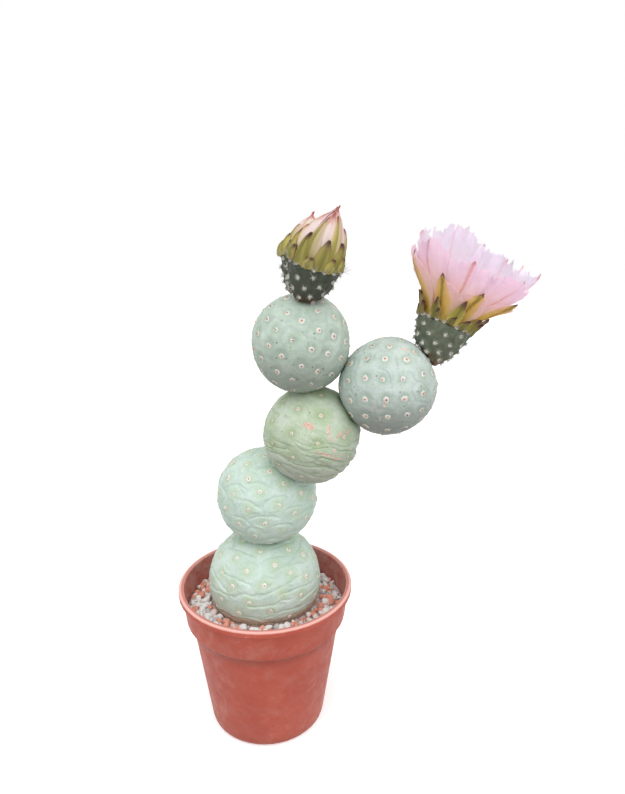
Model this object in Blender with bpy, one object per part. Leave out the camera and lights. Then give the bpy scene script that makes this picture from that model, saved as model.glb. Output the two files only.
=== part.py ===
"""Potted round-jointed cactus: five ball-shaped stem segments, two closed buds and one open flower,
growing in a round plastic nursery pot filled with mineral soil and dressed with grit.

Metres, +Z up. The origin is the middle of the pot's underside, on the pot's axis, and the plant leans
towards +X. Every solid keeps GAP to its neighbours, as pieces that touch.
"""

import math

import bmesh
import bpy
from mathutils import Matrix, Vector

MM = 0.001
UP = Vector((0, 0, 1))

# ---- Clearances --------------------------------------------------------------------------------
GAP = 0.3 * MM  # between two pieces that touch

# ---- Nursery pot -------------------------------------------------------------------------------
POT_SIDES = 48
POT_HEIGHT = 73.0 * MM
POT_RIM_RADIUS = 42.5 * MM  # outside of the rolled lip
POT_TAPER = 0.68  # radius of the underside's edge over the rim's
POT_BODY_INSET = 6.1 * MM  # from the rim in to the body, right under the collar
POT_WALL = 1.1 * MM
POT_FLOOR = 1.5 * MM
POT_BASE_ROUND = 2.6 * MM  # radius of the edge round the underside
LIP_HEIGHT = 2.6 * MM
LIP_OVERHANG = 1.6 * MM  # how far the lip stands out past the collar
LIP_ROUND = 0.7 * MM
COLLAR_HEIGHT = 19.0 * MM  # from the rim down to the foot of the collar's slope
COLLAR_SLOPE = 3.2 * MM  # height of the slope that joins the collar to the body
COLLAR_TAPER = 1.6 * MM  # how much narrower the collar is at its foot
DRAIN_HOLES = 8
DRAIN_RADIUS = 3.0 * MM
DRAIN_CIRCLE_SHARE = 0.64  # radius of the ring of holes over the underside's

# ---- Soil and grit -----------------------------------------------------------------------------
GRIT_BELOW_RIM = 10.5 * MM  # headspace for watering, at the wall
GRIT_DEPTH = 5.0 * MM
GRIT_MOUND = 0.9 * MM  # how much higher the grit lies against the plant

# ---- Roots -------------------------------------------------------------------------------------
ROOT_SIDES = 8
ROOT_LENGTH = 27.0 * MM
ROOT_TOP_RADIUS = 4.6 * MM
ROOT_TIP_RADIUS = 1.1 * MM
SIDE_ROOTS = 5
SIDE_ROOT_REACH = 17.0 * MM
SIDE_ROOT_DROP = 9.0 * MM
SIDE_ROOT_RADIUS = 1.3 * MM
SIDE_ROOT_TIP_RADIUS = 0.6 * MM
GOLDEN_TURN = math.radians(137.5)

# ---- Stem segments -----------------------------------------------------------------------------
SEGMENT_SIDES = 24
SEGMENT_RINGS = 13
SEGMENT_SQUARENESS = 2.15  # 2 is an ellipsoid, more is squarer
FIRST_RADIUS = 0.66 * POT_RIM_RADIUS  # the plant fills its pot
FIRST_OFF_AXIS = (-0.02 * POT_RIM_RADIUS, 0.12 * POT_RIM_RADIUS)
FIRST_ABOVE_GRIT = 8.8 * MM  # its centre over the grit at the wall
# name: radius over the first one's, height over width, what it grows on, direction from there
# (azimuth, lean from +Z in degrees), and how far the two are pressed into each other.
SEGMENTS = {
    "stem_segment_1": (1.000, 0.94, None, (0.0, 0.0), 0.0),
    "stem_segment_2": (0.860, 0.95, "stem_segment_1", (-25.0, 3.0), 3.7 * MM),
    "stem_segment_3": (0.781, 0.99, "stem_segment_2", (-29.0, 35.5), 2.8 * MM),
    "stem_segment_4": (0.749, 1.00, "stem_segment_3", (-141.0, 8.1), 0.9 * MM),
    "stem_segment_5": (0.745, 1.00, "stem_segment_3", (-9.5, 54.6), 2.4 * MM),
}
NEIGHBOURS = (("stem_segment_4", "stem_segment_5"),)  # side by side, pressed together

# ---- Ovaries, one under each flower ------------------------------------------------------------
OVARY_SIDES = 20
OVARY_SUNK = 2.0 * MM  # modelled below the seat, then cut off flat on the segment

# ---- Open flower -------------------------------------------------------------------------------
FLOWER_SEGMENT = "stem_segment_5"
FLOWER_SEAT = (4.0, 56.0)  # where it sits on its segment: azimuth, lean from +Z
FLOWER_POINTS = (17.0, 25.5)
FLOWER_OVARY_LENGTH = 15.5 * MM
FLOWER_OVARY_RADIUS = 11.4 * MM
FLOWER_MOUTH_RADIUS = 25.4 * MM
FLOWER_MOUTH_SHARE = 0.70  # share of the length at which the bell has opened fully
# name, how many, height of the tips over the ovary, width over an even share of the circle, share of
# a step turned round the axis; the outermost whorl first.
FLOWER_WHORLS = (
    ("flower_scale", 8, 8.5 * MM, 0.62, 0.0),
    ("flower_outer_tepal", 7, 19.0 * MM, 0.92, 0.5),
    ("flower_middle_tepal", 7, 27.0 * MM, 1.00, 0.0),
    ("flower_inner_tepal", 7, 34.5 * MM, 1.08, 0.5),
)
WHORL_FOOT_SPACING = 1.2 * MM
WHORL_SPACING = 2.1 * MM  # from RISE up
WHORL_EASE = 7.0 * MM  # how far past an outer whorl's tips an inner one swells out to the bell
RISE = 5.0 * MM  # height over the ovary at which spacing and lap have reached their full size
TEPAL_THICKNESS = 0.4 * MM
TEPAL_LAP = 1.1 * MM  # how much nearer the axis one side of a tepal lies than the other
TEPAL_COLUMNS = 5
TEPAL_ROWS = 5
TEPAL_FOOT_SHARE = 0.8  # angle taken at the foot over the angle taken at the broadest
TEPAL_TIP_SHARE = 0.16
STAMEN_SHARE = 0.7  # radius of the stamens' crown over the room inside the inner tepals
STAMEN_HEIGHT = 15.0 * MM
STAMEN_THICKNESS = 1.2 * MM
STYLE_RADIUS = 1.1 * MM
STYLE_HEIGHT = 19.0 * MM
STIGMA_RADIUS = 2.6 * MM
STIGMA_HEIGHT = 3.4 * MM

# ---- Buds --------------------------------------------------------------------------------------
BUD_SEGMENT = "stem_segment_4"
BUD_CORE_INSET = 1.9 * MM
BUD_TEPAL_SHARE = 0.72  # height of the outer tepals over the closed part of the bud
BUD_TEPAL_WIDTH = 1.1  # over an even share of the circle
BUD_SWELL = 0.9 * MM  # how much wider the closed part is at its broadest than the ovary
# name: seat, direction, ovary length, ovary radius, length of the closed part, outer tepals
BUDS = {
    "front_bud": ((-77.0, 23.5), (-42.0, 20.5), 15.0 * MM, 10.3 * MM, 23.5 * MM, 6),
    "back_bud": ((94.0, 26.0), (60.0, 14.0), 15.8 * MM, 9.5 * MM, 20.5 * MM, 5),
}

# ---- Colours: red, green, blue, roughness ------------------------------------------------------
TERRACOTTA = (0.62, 0.17, 0.11, 0.55)
SOIL = (0.12, 0.08, 0.06, 0.95)
GRIT = (0.62, 0.52, 0.46, 0.90)
ROOT = (0.45, 0.33, 0.20, 0.85)
STEM = (0.47, 0.60, 0.50, 0.75)
OVARY = (0.09, 0.13, 0.09, 0.70)
SCALE = (0.30, 0.31, 0.05, 0.60)
OUTER_TEPAL = (0.62, 0.52, 0.20, 0.55)
MIDDLE_TEPAL = (0.85, 0.52, 0.58, 0.50)
INNER_TEPAL = (0.90, 0.68, 0.82, 0.50)
STAMEN = (0.85, 0.72, 0.20, 0.60)
STIGMA = (0.75, 0.78, 0.55, 0.60)


# ---- Helpers -----------------------------------------------------------------------------------
def direction(azimuth, lean):
    """The unit vector at that azimuth from +X and that lean from +Z, both in degrees."""
    a, b = math.radians(azimuth), math.radians(lean)
    return Vector((math.sin(b) * math.cos(a), math.sin(b) * math.sin(a), math.cos(b)))


def clamped(x):
    return min(1.0, max(0.0, x))


def smoothstep(x):
    x = clamped(x)
    return x * x * (3 - 2 * x)


def material(name, colour):
    made = bpy.data.materials.new(name)
    made.use_nodes = True
    shader = made.node_tree.nodes["Principled BSDF"]
    shader.inputs["Base Color"].default_value = (*colour[:3], 1.0)
    shader.inputs["Roughness"].default_value = colour[3]
    shader.inputs["Metallic"].default_value = 0.0
    return made


def add_object(name, bm, colour=None, parent=None, location=None, helper=False):
    """A new object from a bmesh. A helper is a cutter or a guide, which is no part of the model."""
    mesh = bpy.data.meshes.new(name)
    bmesh.ops.recalc_face_normals(bm, faces=bm.faces)
    bm.to_mesh(mesh)
    bm.free()
    mesh.shade_smooth()
    mesh.set_sharp_from_angle(angle=math.radians(40))
    obj = bpy.data.objects.new(name, mesh)
    bpy.context.scene.collection.objects.link(obj)
    if colour:
        mesh.materials.append(material(name, colour))
    if location:
        obj.location = location
    obj.parent = parent
    if helper:
        obj.hide_render = True
        obj.display_type = "WIRE"
    return obj


def turned(profile, sides):
    """A bmesh made by turning (radius, height) points about +Z. Points on the axis close it."""
    bm = bmesh.new()
    points = [bm.verts.new((radius, 0, height)) for radius, height in profile]
    edges = [bm.edges.new(pair) for pair in zip(points, points[1:])]
    if profile[0][0] > 0 and profile[-1][0] > 0:
        edges.append(bm.edges.new((points[-1], points[0])))
    bmesh.ops.spin(
        bm,
        geom=points + edges,
        cent=(0, 0, 0),
        axis=UP,
        angle=math.tau,
        steps=sides,
        use_merge=True,
    )
    bmesh.ops.remove_doubles(bm, verts=bm.verts, dist=0.001 * MM)
    return bm


def arc(centre, radius, start, end, steps):
    """Points of an arc in the profile plane, from start to end in degrees."""
    turn = [math.radians(start + (end - start) * i / steps) for i in range(steps + 1)]
    return [(centre[0] + radius * math.cos(a), centre[1] + radius * math.sin(a)) for a in turn]


def boolean(obj, operation, other):
    """Adds a Boolean with another object, or with every object of a collection."""
    modifier = obj.modifiers.new(operation.lower(), "BOOLEAN")
    modifier.operation = operation
    modifier.solver = "EXACT"
    if isinstance(other, bpy.types.Collection):
        modifier.operand_type = "COLLECTION"
        modifier.collection = other
    else:
        modifier.object = other


def helper_collection(name, objects):
    made = bpy.data.collections.new(name)
    bpy.context.scene.collection.children.link(made)
    made.hide_render = True
    for obj in objects:
        made.objects.link(obj)
        bpy.context.scene.collection.objects.unlink(obj)
    return made


# ---- Pot ---------------------------------------------------------------------------------------
def pot_outline():
    """The outside of the pot's wall as (radius, height), from the base's edge up to under the lip."""
    collar_top = POT_RIM_RADIUS - LIP_OVERHANG
    return [
        (POT_RIM_RADIUS * POT_TAPER, POT_BASE_ROUND),
        (POT_RIM_RADIUS - POT_BODY_INSET, POT_HEIGHT - COLLAR_HEIGHT),
        (collar_top - COLLAR_TAPER, POT_HEIGHT - COLLAR_HEIGHT + COLLAR_SLOPE),
        (collar_top, POT_HEIGHT - LIP_HEIGHT),
    ]


def pot_inside_radius(height):
    """Radius of the inside of the wall at a height above the pot's underside."""
    outline = pot_outline()
    for (r0, z0), (r1, z1) in zip(outline, outline[1:]):
        if height <= z1:
            return r0 + (r1 - r0) * (height - z0) / (z1 - z0) - POT_WALL
    return outline[-1][0] - POT_WALL


def make_pot():
    outline = pot_outline()
    base = outline[0][0]
    rounded = arc((base - POT_BASE_ROUND, POT_BASE_ROUND), POT_BASE_ROUND, -90, 0, 3)
    lip_in = outline[-1][0] - POT_WALL
    lip = [
        (POT_RIM_RADIUS, POT_HEIGHT - LIP_HEIGHT),
        *arc((POT_RIM_RADIUS - LIP_ROUND, POT_HEIGHT - LIP_ROUND), LIP_ROUND, 0, 90, 2),
        *arc((lip_in + LIP_ROUND, POT_HEIGHT - LIP_ROUND), LIP_ROUND, 90, 180, 2),
    ]
    inside = [(radius - POT_WALL, height) for radius, height in reversed(outline[1:])]
    floor = [(pot_inside_radius(POT_FLOOR + POT_WALL), POT_FLOOR + POT_WALL)]
    floor.append((floor[0][0] - POT_WALL, POT_FLOOR))
    profile = [(0, 0), *rounded, *outline[1:], *lip, *inside, *floor, (0, POT_FLOOR)]
    pot = add_object("nursery_pot", turned(profile, POT_SIDES), TERRACOTTA)
    drills = []
    for i in range(DRAIN_HOLES):
        turn = math.tau * i / DRAIN_HOLES
        bm = bmesh.new()
        bmesh.ops.create_cone(
            bm,
            cap_ends=True,
            segments=12,
            radius1=DRAIN_RADIUS,
            radius2=DRAIN_RADIUS,
            depth=4 * POT_FLOOR,
        )
        place = Vector((math.cos(turn), math.sin(turn), 0)) * base * DRAIN_CIRCLE_SHARE
        drills.append(add_object(f"drain_drill_{i + 1}", bm, location=place, helper=True))
    boolean(pot, "DIFFERENCE", helper_collection("drain_drills", drills))
    return pot


# ---- Stem segments -----------------------------------------------------------------------------
class Segment:
    """One ball-shaped stem segment: a squared ellipsoid, flattened where a neighbour presses it."""

    def __init__(self, name, radius, share, parent, grows, pressed):
        self.name, self.radius, self.share = name, radius, share
        self.axis = direction(*grows)
        self.contacts = []  # (unit vector towards the neighbour, distance to the contact plane)
        self.centre = Vector((*FIRST_OFF_AXIS, POT_HEIGHT - GRIT_BELOW_RIM + FIRST_ABOVE_GRIT))
        if parent:
            apart = parent.reach(self.axis) + self.reach(-self.axis) - pressed
            self.centre = parent.centre + self.axis * apart
            press_together(parent, self)

    def reach(self, towards):
        """Distance from the centre to the unflattened surface, along a unit vector."""
        along = abs(towards.dot(self.axis))
        across = math.sqrt(max(0.0, 1 - along * along))
        power = SEGMENT_SQUARENESS
        size = (across / self.radius) ** power + (along / (self.radius * self.share)) ** power
        return size ** (-1 / power)

    def surface(self, towards, clearance=0.0):
        """The point of the finished surface along a unit vector, moved out by the clearance."""
        out = self.reach(towards)
        for normal, distance in self.contacts:
            facing = towards.dot(normal)
            if facing * out > distance:
                out = distance / facing
        return towards * (out + clearance)

    def mesh(self, clearance=0.0):
        bm = bmesh.new()
        bmesh.ops.create_uvsphere(
            bm, u_segments=SEGMENT_SIDES, v_segments=SEGMENT_RINGS, radius=1
        )
        turn = UP.rotation_difference(self.axis).to_matrix()
        for vert in bm.verts:
            vert.co = self.surface((turn @ vert.co).normalized(), clearance)
        return bm


def press_together(a, b):
    """Flattens two segments against each other where their full shapes would overlap."""
    between = b.centre - a.centre
    normal = between.normalized()
    overlap = a.reach(normal) + b.reach(-normal) - between.length
    for segment, towards in ((a, normal), (b, -normal)):
        distance = segment.reach(towards) - overlap / 2 - GAP / 2
        segment.contacts.append((towards, distance))


def make_segments():
    made = {}
    for name, (size, share, parent, grows, pressed) in SEGMENTS.items():
        radius = size * FIRST_RADIUS
        made[name] = Segment(name, radius, share, made.get(parent), grows, pressed)
    for a, b in NEIGHBOURS:
        press_together(made[a], made[b])
    for segment in made.values():
        add_object(segment.name, segment.mesh(), STEM, location=segment.centre)
    return made


# ---- Soil, grit and roots ----------------------------------------------------------------------
def tube(points, radii, sides):
    """A bmesh of a closed round tube through points, with a radius at each."""
    bm = bmesh.new()
    rings = []
    for i, (point, radius) in enumerate(zip(points, radii)):
        ahead = points[min(i + 1, len(points) - 1)] - points[max(i - 1, 0)]
        turn = UP.rotation_difference(ahead.normalized()).to_matrix().to_4x4()
        made = bmesh.ops.create_circle(
            bm, segments=sides, radius=radius, matrix=Matrix.Translation(point) @ turn
        )
        rings.append(made["verts"])
    for low, high in zip(rings, rings[1:]):
        for i in range(sides):
            bm.faces.new((low[i], low[i - 1], high[i - 1], high[i]))
    bm.faces.new(rings[0])
    bm.faces.new(reversed(rings[-1]))
    return bm


def root_tubes(top, clearance):
    """The main root and its side roots, as (points, radii), with the clearance added all round."""
    steps = 4
    main = [top - UP * ROOT_LENGTH * i / steps for i in range(steps + 1)]
    main[0] = main[0] + UP * clearance
    main[-1] = main[-1] - UP * clearance
    thick = [
        ROOT_TOP_RADIUS + (ROOT_TIP_RADIUS - ROOT_TOP_RADIUS) * i / steps + clearance
        for i in range(steps + 1)
    ]
    yield main, thick
    for i in range(SIDE_ROOTS):
        leaves = top - UP * ROOT_LENGTH * (0.2 + 0.12 * i)
        out = Vector((math.cos(GOLDEN_TURN * i), math.sin(GOLDEN_TURN * i), 0))
        points = []
        for j in range(steps + 1):
            share = j / steps + (clearance / SIDE_ROOT_REACH if j == steps else 0)
            points.append(leaves + out * SIDE_ROOT_REACH * share - UP * SIDE_ROOT_DROP * share**2)
        radii = [
            SIDE_ROOT_RADIUS + (SIDE_ROOT_TIP_RADIUS - SIDE_ROOT_RADIUS) * j / steps + clearance
            for j in range(steps + 1)
        ]
        yield points, radii


def make_roots(first):
    """The rootstock under the first segment, and the cutters that keep the soil clear of it."""
    top = first.centre + first.surface(-UP, GAP)
    tubes = [tube(*shape, ROOT_SIDES) for shape in root_tubes(top, 0.0)]
    main = add_object("rootstock", tubes[0], ROOT)
    sides = [
        add_object(f"side_root_guide_{i + 1}", bm, helper=True) for i, bm in enumerate(tubes[1:])
    ]
    boolean(main, "UNION", helper_collection("side_root_guides", sides))
    cutters = [
        add_object(f"root_cutter_{i + 1}", tube(*shape, ROOT_SIDES), helper=True)
        for i, shape in enumerate(root_tubes(top, GAP))
    ]
    return helper_collection("root_cutters", cutters)


def wall_side(low, high):
    """Points (radius, height) up the inside of the pot's wall, a gap away from it."""
    between = [height for _, height in pot_outline() if low < height < high]
    return [(pot_inside_radius(height) - GAP, height) for height in (low, *between, high)]


def make_filling(first, root_cutters):
    """The soil in the pot and the grit on it, both hollowed out for the first segment."""
    seat = add_object("seat_cutter", first.mesh(GAP), location=first.centre, helper=True)
    grit_top = POT_HEIGHT - GRIT_BELOW_RIM
    grit_foot = grit_top - GRIT_DEPTH
    soil_foot = POT_FLOOR + GAP
    side = wall_side(soil_foot + POT_WALL, grit_foot - GAP)
    foot = (side[0][0] - POT_WALL, soil_foot)
    profile = [(0, soil_foot), foot, *side, (0, grit_foot - GAP)]
    soil = add_object("potting_soil", turned(profile, POT_SIDES), SOIL)
    mound = grit_top + GRIT_MOUND
    side = wall_side(grit_foot, grit_top)
    profile = [(0, grit_foot), *side, (first.radius, mound), (0, mound)]
    grit = add_object("grit_top_dressing", turned(profile, POT_SIDES), GRIT)
    for filling in (soil, grit):
        boolean(filling, "DIFFERENCE", seat)
    boolean(soil, "DIFFERENCE", root_cutters)


# ---- Flowers -----------------------------------------------------------------------------------
def flower_frame(name, segment, seat, points):
    """An empty whose origin is the flower's seat on the segment, with +Z along the flower."""
    frame = bpy.data.objects.new(name, None)
    bpy.context.scene.collection.objects.link(frame)
    frame.location = segment.centre + segment.surface(direction(*seat))
    frame.rotation_mode = "QUATERNION"
    frame.rotation_quaternion = UP.rotation_difference(direction(*points))
    return frame


def add_ovary(name, frame, seat, length, radius):
    """A bowl-shaped ovary, cut off flat on its segment and flat under the tepals."""
    profile = [
        (0, -OVARY_SUNK),
        (0.34 * radius, -OVARY_SUNK),
        (0.42 * radius, 0.02 * length),
        (0.66 * radius, 0.22 * length),
        (0.83 * radius, 0.48 * length),
        (0.95 * radius, 0.76 * length),
        (radius, length - 0.5 * MM),
        (0.97 * radius, length),
        (0, length),
    ]
    bm = turned(profile, OVARY_SIDES)
    normal = frame.rotation_quaternion.inverted() @ direction(*seat)
    cut = bmesh.ops.bisect_plane(
        bm,
        geom=bm.verts[:] + bm.edges[:] + bm.faces[:],
        plane_co=normal * GAP,
        plane_no=normal,
        clear_inner=True,
    )
    rim = [part for part in cut["geom_cut"] if isinstance(part, bmesh.types.BMEdge)]
    bmesh.ops.edgeloop_fill(bm, edges=rim)
    add_object(name, bm, OVARY, parent=frame)


def tepal_shape(share):
    """Width of a tepal over its greatest, at a share of its length: narrow foot and round tip."""
    blade = TEPAL_FOOT_SHARE + (1 - TEPAL_FOOT_SHARE) * smoothstep(share / 0.6)
    tip = math.sqrt(max(0.0, 1 - share**6))
    return max(TEPAL_TIP_SHARE, blade * tip)


def add_tepal(name, frame, colour, turn, foot, tip, spread, radius_at):
    """One tepal from height foot to tip, on the surface of that radius at each height. The spread
    is the angle it takes round the axis where it is broadest."""
    bm = bmesh.new()
    bmesh.ops.create_grid(bm, x_segments=TEPAL_COLUMNS, y_segments=TEPAL_ROWS, size=1)
    for vert in bm.verts:
        side, share = vert.co.x, (vert.co.y + 1) / 2
        height = foot + (tip - foot) * share
        angle = turn + side * tepal_shape(share) * spread / 2
        radius = radius_at(height) + side * TEPAL_LAP / 2 * smoothstep((height - foot) / RISE)
        vert.co = (radius * math.cos(angle), radius * math.sin(angle), height)
    tepal = add_object(name, bm, colour, parent=frame)
    solid = tepal.modifiers.new("thickness", "SOLIDIFY")
    solid.thickness = TEPAL_THICKNESS
    solid.offset = 0
    solid.use_even_offset = True


def whorl_inset(height, foot, tips_outside):
    """How far a whorl lies inside the flower's outline, under the whorls that are outside it."""
    covering = sum(1 - smoothstep((height - tip) / WHORL_EASE) for tip in tips_outside)
    widening = (WHORL_SPACING - WHORL_FOOT_SPACING) * smoothstep((height - foot) / RISE)
    return (WHORL_FOOT_SPACING + widening) * covering


def make_open_flower(segment):
    frame = flower_frame("open_flower", segment, FLOWER_SEAT, FLOWER_POINTS)
    ovary = FLOWER_OVARY_LENGTH
    add_ovary("flower_ovary", frame, FLOWER_SEAT, ovary, FLOWER_OVARY_RADIUS)
    foot = ovary + GAP + TEPAL_THICKNESS / 2
    longest = max(whorl[2] for whorl in FLOWER_WHORLS)
    neck = FLOWER_OVARY_RADIUS - TEPAL_LAP

    def bell(height):
        share = clamped((height - ovary) / longest / FLOWER_MOUTH_SHARE)
        return neck + (FLOWER_MOUTH_RADIUS - neck) * (share + smoothstep(share)) / 2

    colours = (SCALE, OUTER_TEPAL, MIDDLE_TEPAL, INNER_TEPAL)
    tips = []
    for (name, count, height, width, offset), colour in zip(FLOWER_WHORLS, colours):
        outside = tuple(tips)

        def radius_at(at, outside=outside):
            return bell(at) - whorl_inset(at, foot, outside)

        step = math.tau / count
        for i in range(count):
            turn, tip = step * (i + offset), ovary + height
            add_tepal(
                f"{name}_{i + 1}", frame, colour, turn, foot, tip, step * width, radius_at
            )
        tips.append(ovary + height)
    make_stamens_and_style(frame, ovary + GAP, radius_at)


def make_stamens_and_style(frame, foot, radius_at):
    """The ring of stamens as one flared crown, and the style with its stigma inside it. radius_at
    gives the inner tepals' radius at each height."""
    heights = [foot + STAMEN_HEIGHT * share for share in (0, 0.5, 1)]
    room = [radius_at(at) - (TEPAL_LAP + TEPAL_THICKNESS) / 2 for at in heights]
    outside = [(STAMEN_SHARE * radius, at) for radius, at in zip(room, heights)]
    inside = [(radius - STAMEN_THICKNESS, at) for radius, at in reversed(outside)]
    crown = turned(outside + inside, OVARY_SIDES)
    add_object("flower_stamens", crown, STAMEN, parent=frame)
    neck = foot + STYLE_HEIGHT - STIGMA_HEIGHT
    style = [
        (0, foot),
        (STYLE_RADIUS, foot),
        (STYLE_RADIUS, neck),
        (STIGMA_RADIUS, neck + 0.35 * STIGMA_HEIGHT),
        (0.8 * STIGMA_RADIUS, neck + STIGMA_HEIGHT),
        (0, neck + 0.8 * STIGMA_HEIGHT),
    ]
    add_object("flower_style", turned(style, 12), STIGMA, parent=frame)


def make_bud(name, segment, seat, points, ovary, radius, closed, count):
    """A closed bud: its ovary, one whorl of outer tepals and the rolled inner tepals."""
    frame = flower_frame(name, segment, seat, points)
    add_ovary(f"{name}_ovary", frame, seat, ovary, radius)
    waist = radius - TEPAL_LAP

    def outline(height):
        share = clamped((height - ovary) / closed)
        swell = BUD_SWELL * math.sin(math.pi * share)
        return (waist + swell) * (1 - share**1.9) ** 0.8

    foot = ovary + GAP + TEPAL_THICKNESS / 2
    tip = ovary + closed * BUD_TEPAL_SHARE
    step = math.tau / count
    spread = step * BUD_TEPAL_WIDTH
    for i in range(count):
        add_tepal(
            f"{name}_tepal_{i + 1}", frame, OUTER_TEPAL, step * i, foot, tip, spread, outline
        )
    steps = 8
    core = [(0, ovary + GAP)]
    for i in range(steps):
        height = ovary + GAP + (closed - GAP) * i / steps
        core.append((max(0.5 * MM, outline(height) - BUD_CORE_INSET), height))
    core.append((0, ovary + closed))
    add_object(f"{name}_core", turned(core, OVARY_SIDES), MIDDLE_TEPAL, parent=frame)


def main():
    for obj in list(bpy.data.objects):
        bpy.data.objects.remove(obj)
    make_pot()
    segments = make_segments()
    first = segments["stem_segment_1"]
    make_filling(first, make_roots(first))
    make_open_flower(segments[FLOWER_SEGMENT])
    for name, shape in BUDS.items():
        make_bud(name, segments[BUD_SEGMENT], *shape)


main()
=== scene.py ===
"""Looks of the potted ball-jointed cactus: skin with areoles, creases and scars on every stem segment,
tufted ovaries, two buds, the open flower, loose grit and the worn plastic pot.

Lengths are millimetres while shapes are worked out and become metres when a mesh is made.
"""

import math

import bmesh
import bpy
import numpy as np
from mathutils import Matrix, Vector
from mathutils.bvhtree import BVHTree


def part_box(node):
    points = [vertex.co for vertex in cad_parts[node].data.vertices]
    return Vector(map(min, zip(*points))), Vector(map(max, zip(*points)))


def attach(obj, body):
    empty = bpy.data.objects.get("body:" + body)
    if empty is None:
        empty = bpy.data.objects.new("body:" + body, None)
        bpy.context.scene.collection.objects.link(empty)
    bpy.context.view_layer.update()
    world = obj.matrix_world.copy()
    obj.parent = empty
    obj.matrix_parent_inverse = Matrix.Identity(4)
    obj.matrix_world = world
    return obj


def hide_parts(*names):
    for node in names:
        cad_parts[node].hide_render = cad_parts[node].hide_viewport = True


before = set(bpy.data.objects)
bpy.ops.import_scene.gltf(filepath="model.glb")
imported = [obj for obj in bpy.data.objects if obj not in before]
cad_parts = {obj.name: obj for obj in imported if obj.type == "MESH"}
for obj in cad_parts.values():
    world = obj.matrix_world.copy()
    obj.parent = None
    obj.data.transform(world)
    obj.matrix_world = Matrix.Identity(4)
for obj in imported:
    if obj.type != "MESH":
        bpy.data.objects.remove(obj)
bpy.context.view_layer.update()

MM = 0.001
GOLDEN_TURN = math.radians(137.508)
UP = np.array((0.0, 0.0, 1.0))


# ---- Numbers and fields ------------------------------------------------------------------------
def smoothstep(value):
    value = np.clip(value, 0.0, 1.0)
    return value * value * (3 - 2 * value)


def bell(value, width):
    """1 where the value is 0, falling away smoothly over that width on both sides."""
    return np.exp(-((value / width) ** 2))


def wrapped(angle):
    """The angle brought to between minus and plus half a turn."""
    return (angle + math.pi) % (2 * math.pi) - math.pi


def in_turns(count):
    """Angles that share a full turn evenly."""
    return np.arange(count) * 2 * math.pi / count


def around(radius, turn, level):
    """Points at that distance, angle and height about the third axis."""
    return np.stack((radius * np.cos(turn), radius * np.sin(turn), level), -1)


def off_axis(local):
    """Distance of points from the third axis."""
    return np.hypot(local[:, 0], local[:, 1])


def unit(vectors):
    vectors = np.asarray(vectors, float)
    return vectors / np.maximum(np.linalg.norm(vectors, axis=-1, keepdims=True), 1e-9)


def hashed(*keys):
    """Even random numbers from 0 to 1, one for each row of whole numbers."""
    total = np.zeros(np.broadcast(*keys).shape, np.uint64)
    for key, prime in zip(keys, (73856093, 19349663, 83492791, 2971215073)):
        total = total ^ (np.asarray(key).astype(np.int64).astype(np.uint64) * np.uint64(prime))
    total = (total ^ (total >> np.uint64(13))) * np.uint64(0x9E3779B97F4A7C15)
    total = (total ^ (total >> np.uint64(29))) * np.uint64(0xBF58476D1CE4E5B9)
    return ((total >> np.uint64(40)).astype(float)) / 2.0**24


def noise(points, size, seed=0):
    """Smooth noise from -1 to 1, with features about that size."""
    points = np.asarray(points, float) / size + 100.37
    cell = np.floor(points).astype(np.int64)
    ease = smoothstep(points - cell)
    total = np.zeros(len(points))
    for x in (0, 1):
        for y in (0, 1):
            for z in (0, 1):
                share = np.where(x, ease[:, 0], 1 - ease[:, 0])
                share = share * np.where(y, ease[:, 1], 1 - ease[:, 1])
                share = share * np.where(z, ease[:, 2], 1 - ease[:, 2])
                total += share * hashed(cell[:, 0] + x, cell[:, 1] + y, cell[:, 2] + z, seed)
    return 2 * total - 1


def fractal(points, size, seed=0, octaves=3):
    total = sum(noise(points, size / 2**k, seed + k) / 2**k for k in range(octaves))
    return total / (2 - 2.0 ** (1 - octaves))


def frame_of(normal, towards=(1.0, 0.0, 0.0)):
    """Three axes in rows: the third is the normal, the first leans as near to 'towards' as it can."""
    third = unit(normal)
    first = np.asarray(towards, float)
    first = unit(first - third * (first @ third))
    return np.array((first, np.cross(third, first), third))


# ---- Frame nodes -------------------------------------------------------------------------------
def node_points(name):
    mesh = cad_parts[name].data
    points = np.empty(len(mesh.vertices) * 3)
    mesh.vertices.foreach_get("co", points)
    return points.reshape(-1, 3) / MM


def node_triangles(name):
    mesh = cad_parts[name].data
    mesh.calc_loop_triangles()
    triangles = np.empty(len(mesh.loop_triangles) * 3, np.int32)
    mesh.loop_triangles.foreach_get("vertices", triangles)
    return triangles.reshape(-1, 3)


def node_tree(name):
    return BVHTree.FromPolygons(node_points(name).tolist(), node_triangles(name).tolist())


def node_box(name):
    low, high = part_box(name)
    return np.array(low) / MM, np.array(high) / MM


def nodes_named(start):
    found = [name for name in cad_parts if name.startswith(start)]
    return sorted(found, key=lambda name: int(name.rsplit("_", 1)[1]))


def flat_top(name):
    """Centre and outward normal of a node's largest flat side."""
    corners = node_points(name)[node_triangles(name)]
    cross = np.cross(corners[:, 1] - corners[:, 0], corners[:, 2] - corners[:, 0]) / 2
    area = np.linalg.norm(cross, axis=1)
    _, group = np.unique(np.round(unit(cross), 2), axis=0, return_inverse=True)
    group = group.reshape(-1)
    largest = np.argmax(np.bincount(group, weights=area))
    chosen = group == largest
    centre = np.average(corners[chosen].mean(axis=1), axis=0, weights=area[chosen])
    return centre, unit(cross[chosen].sum(axis=0))


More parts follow.
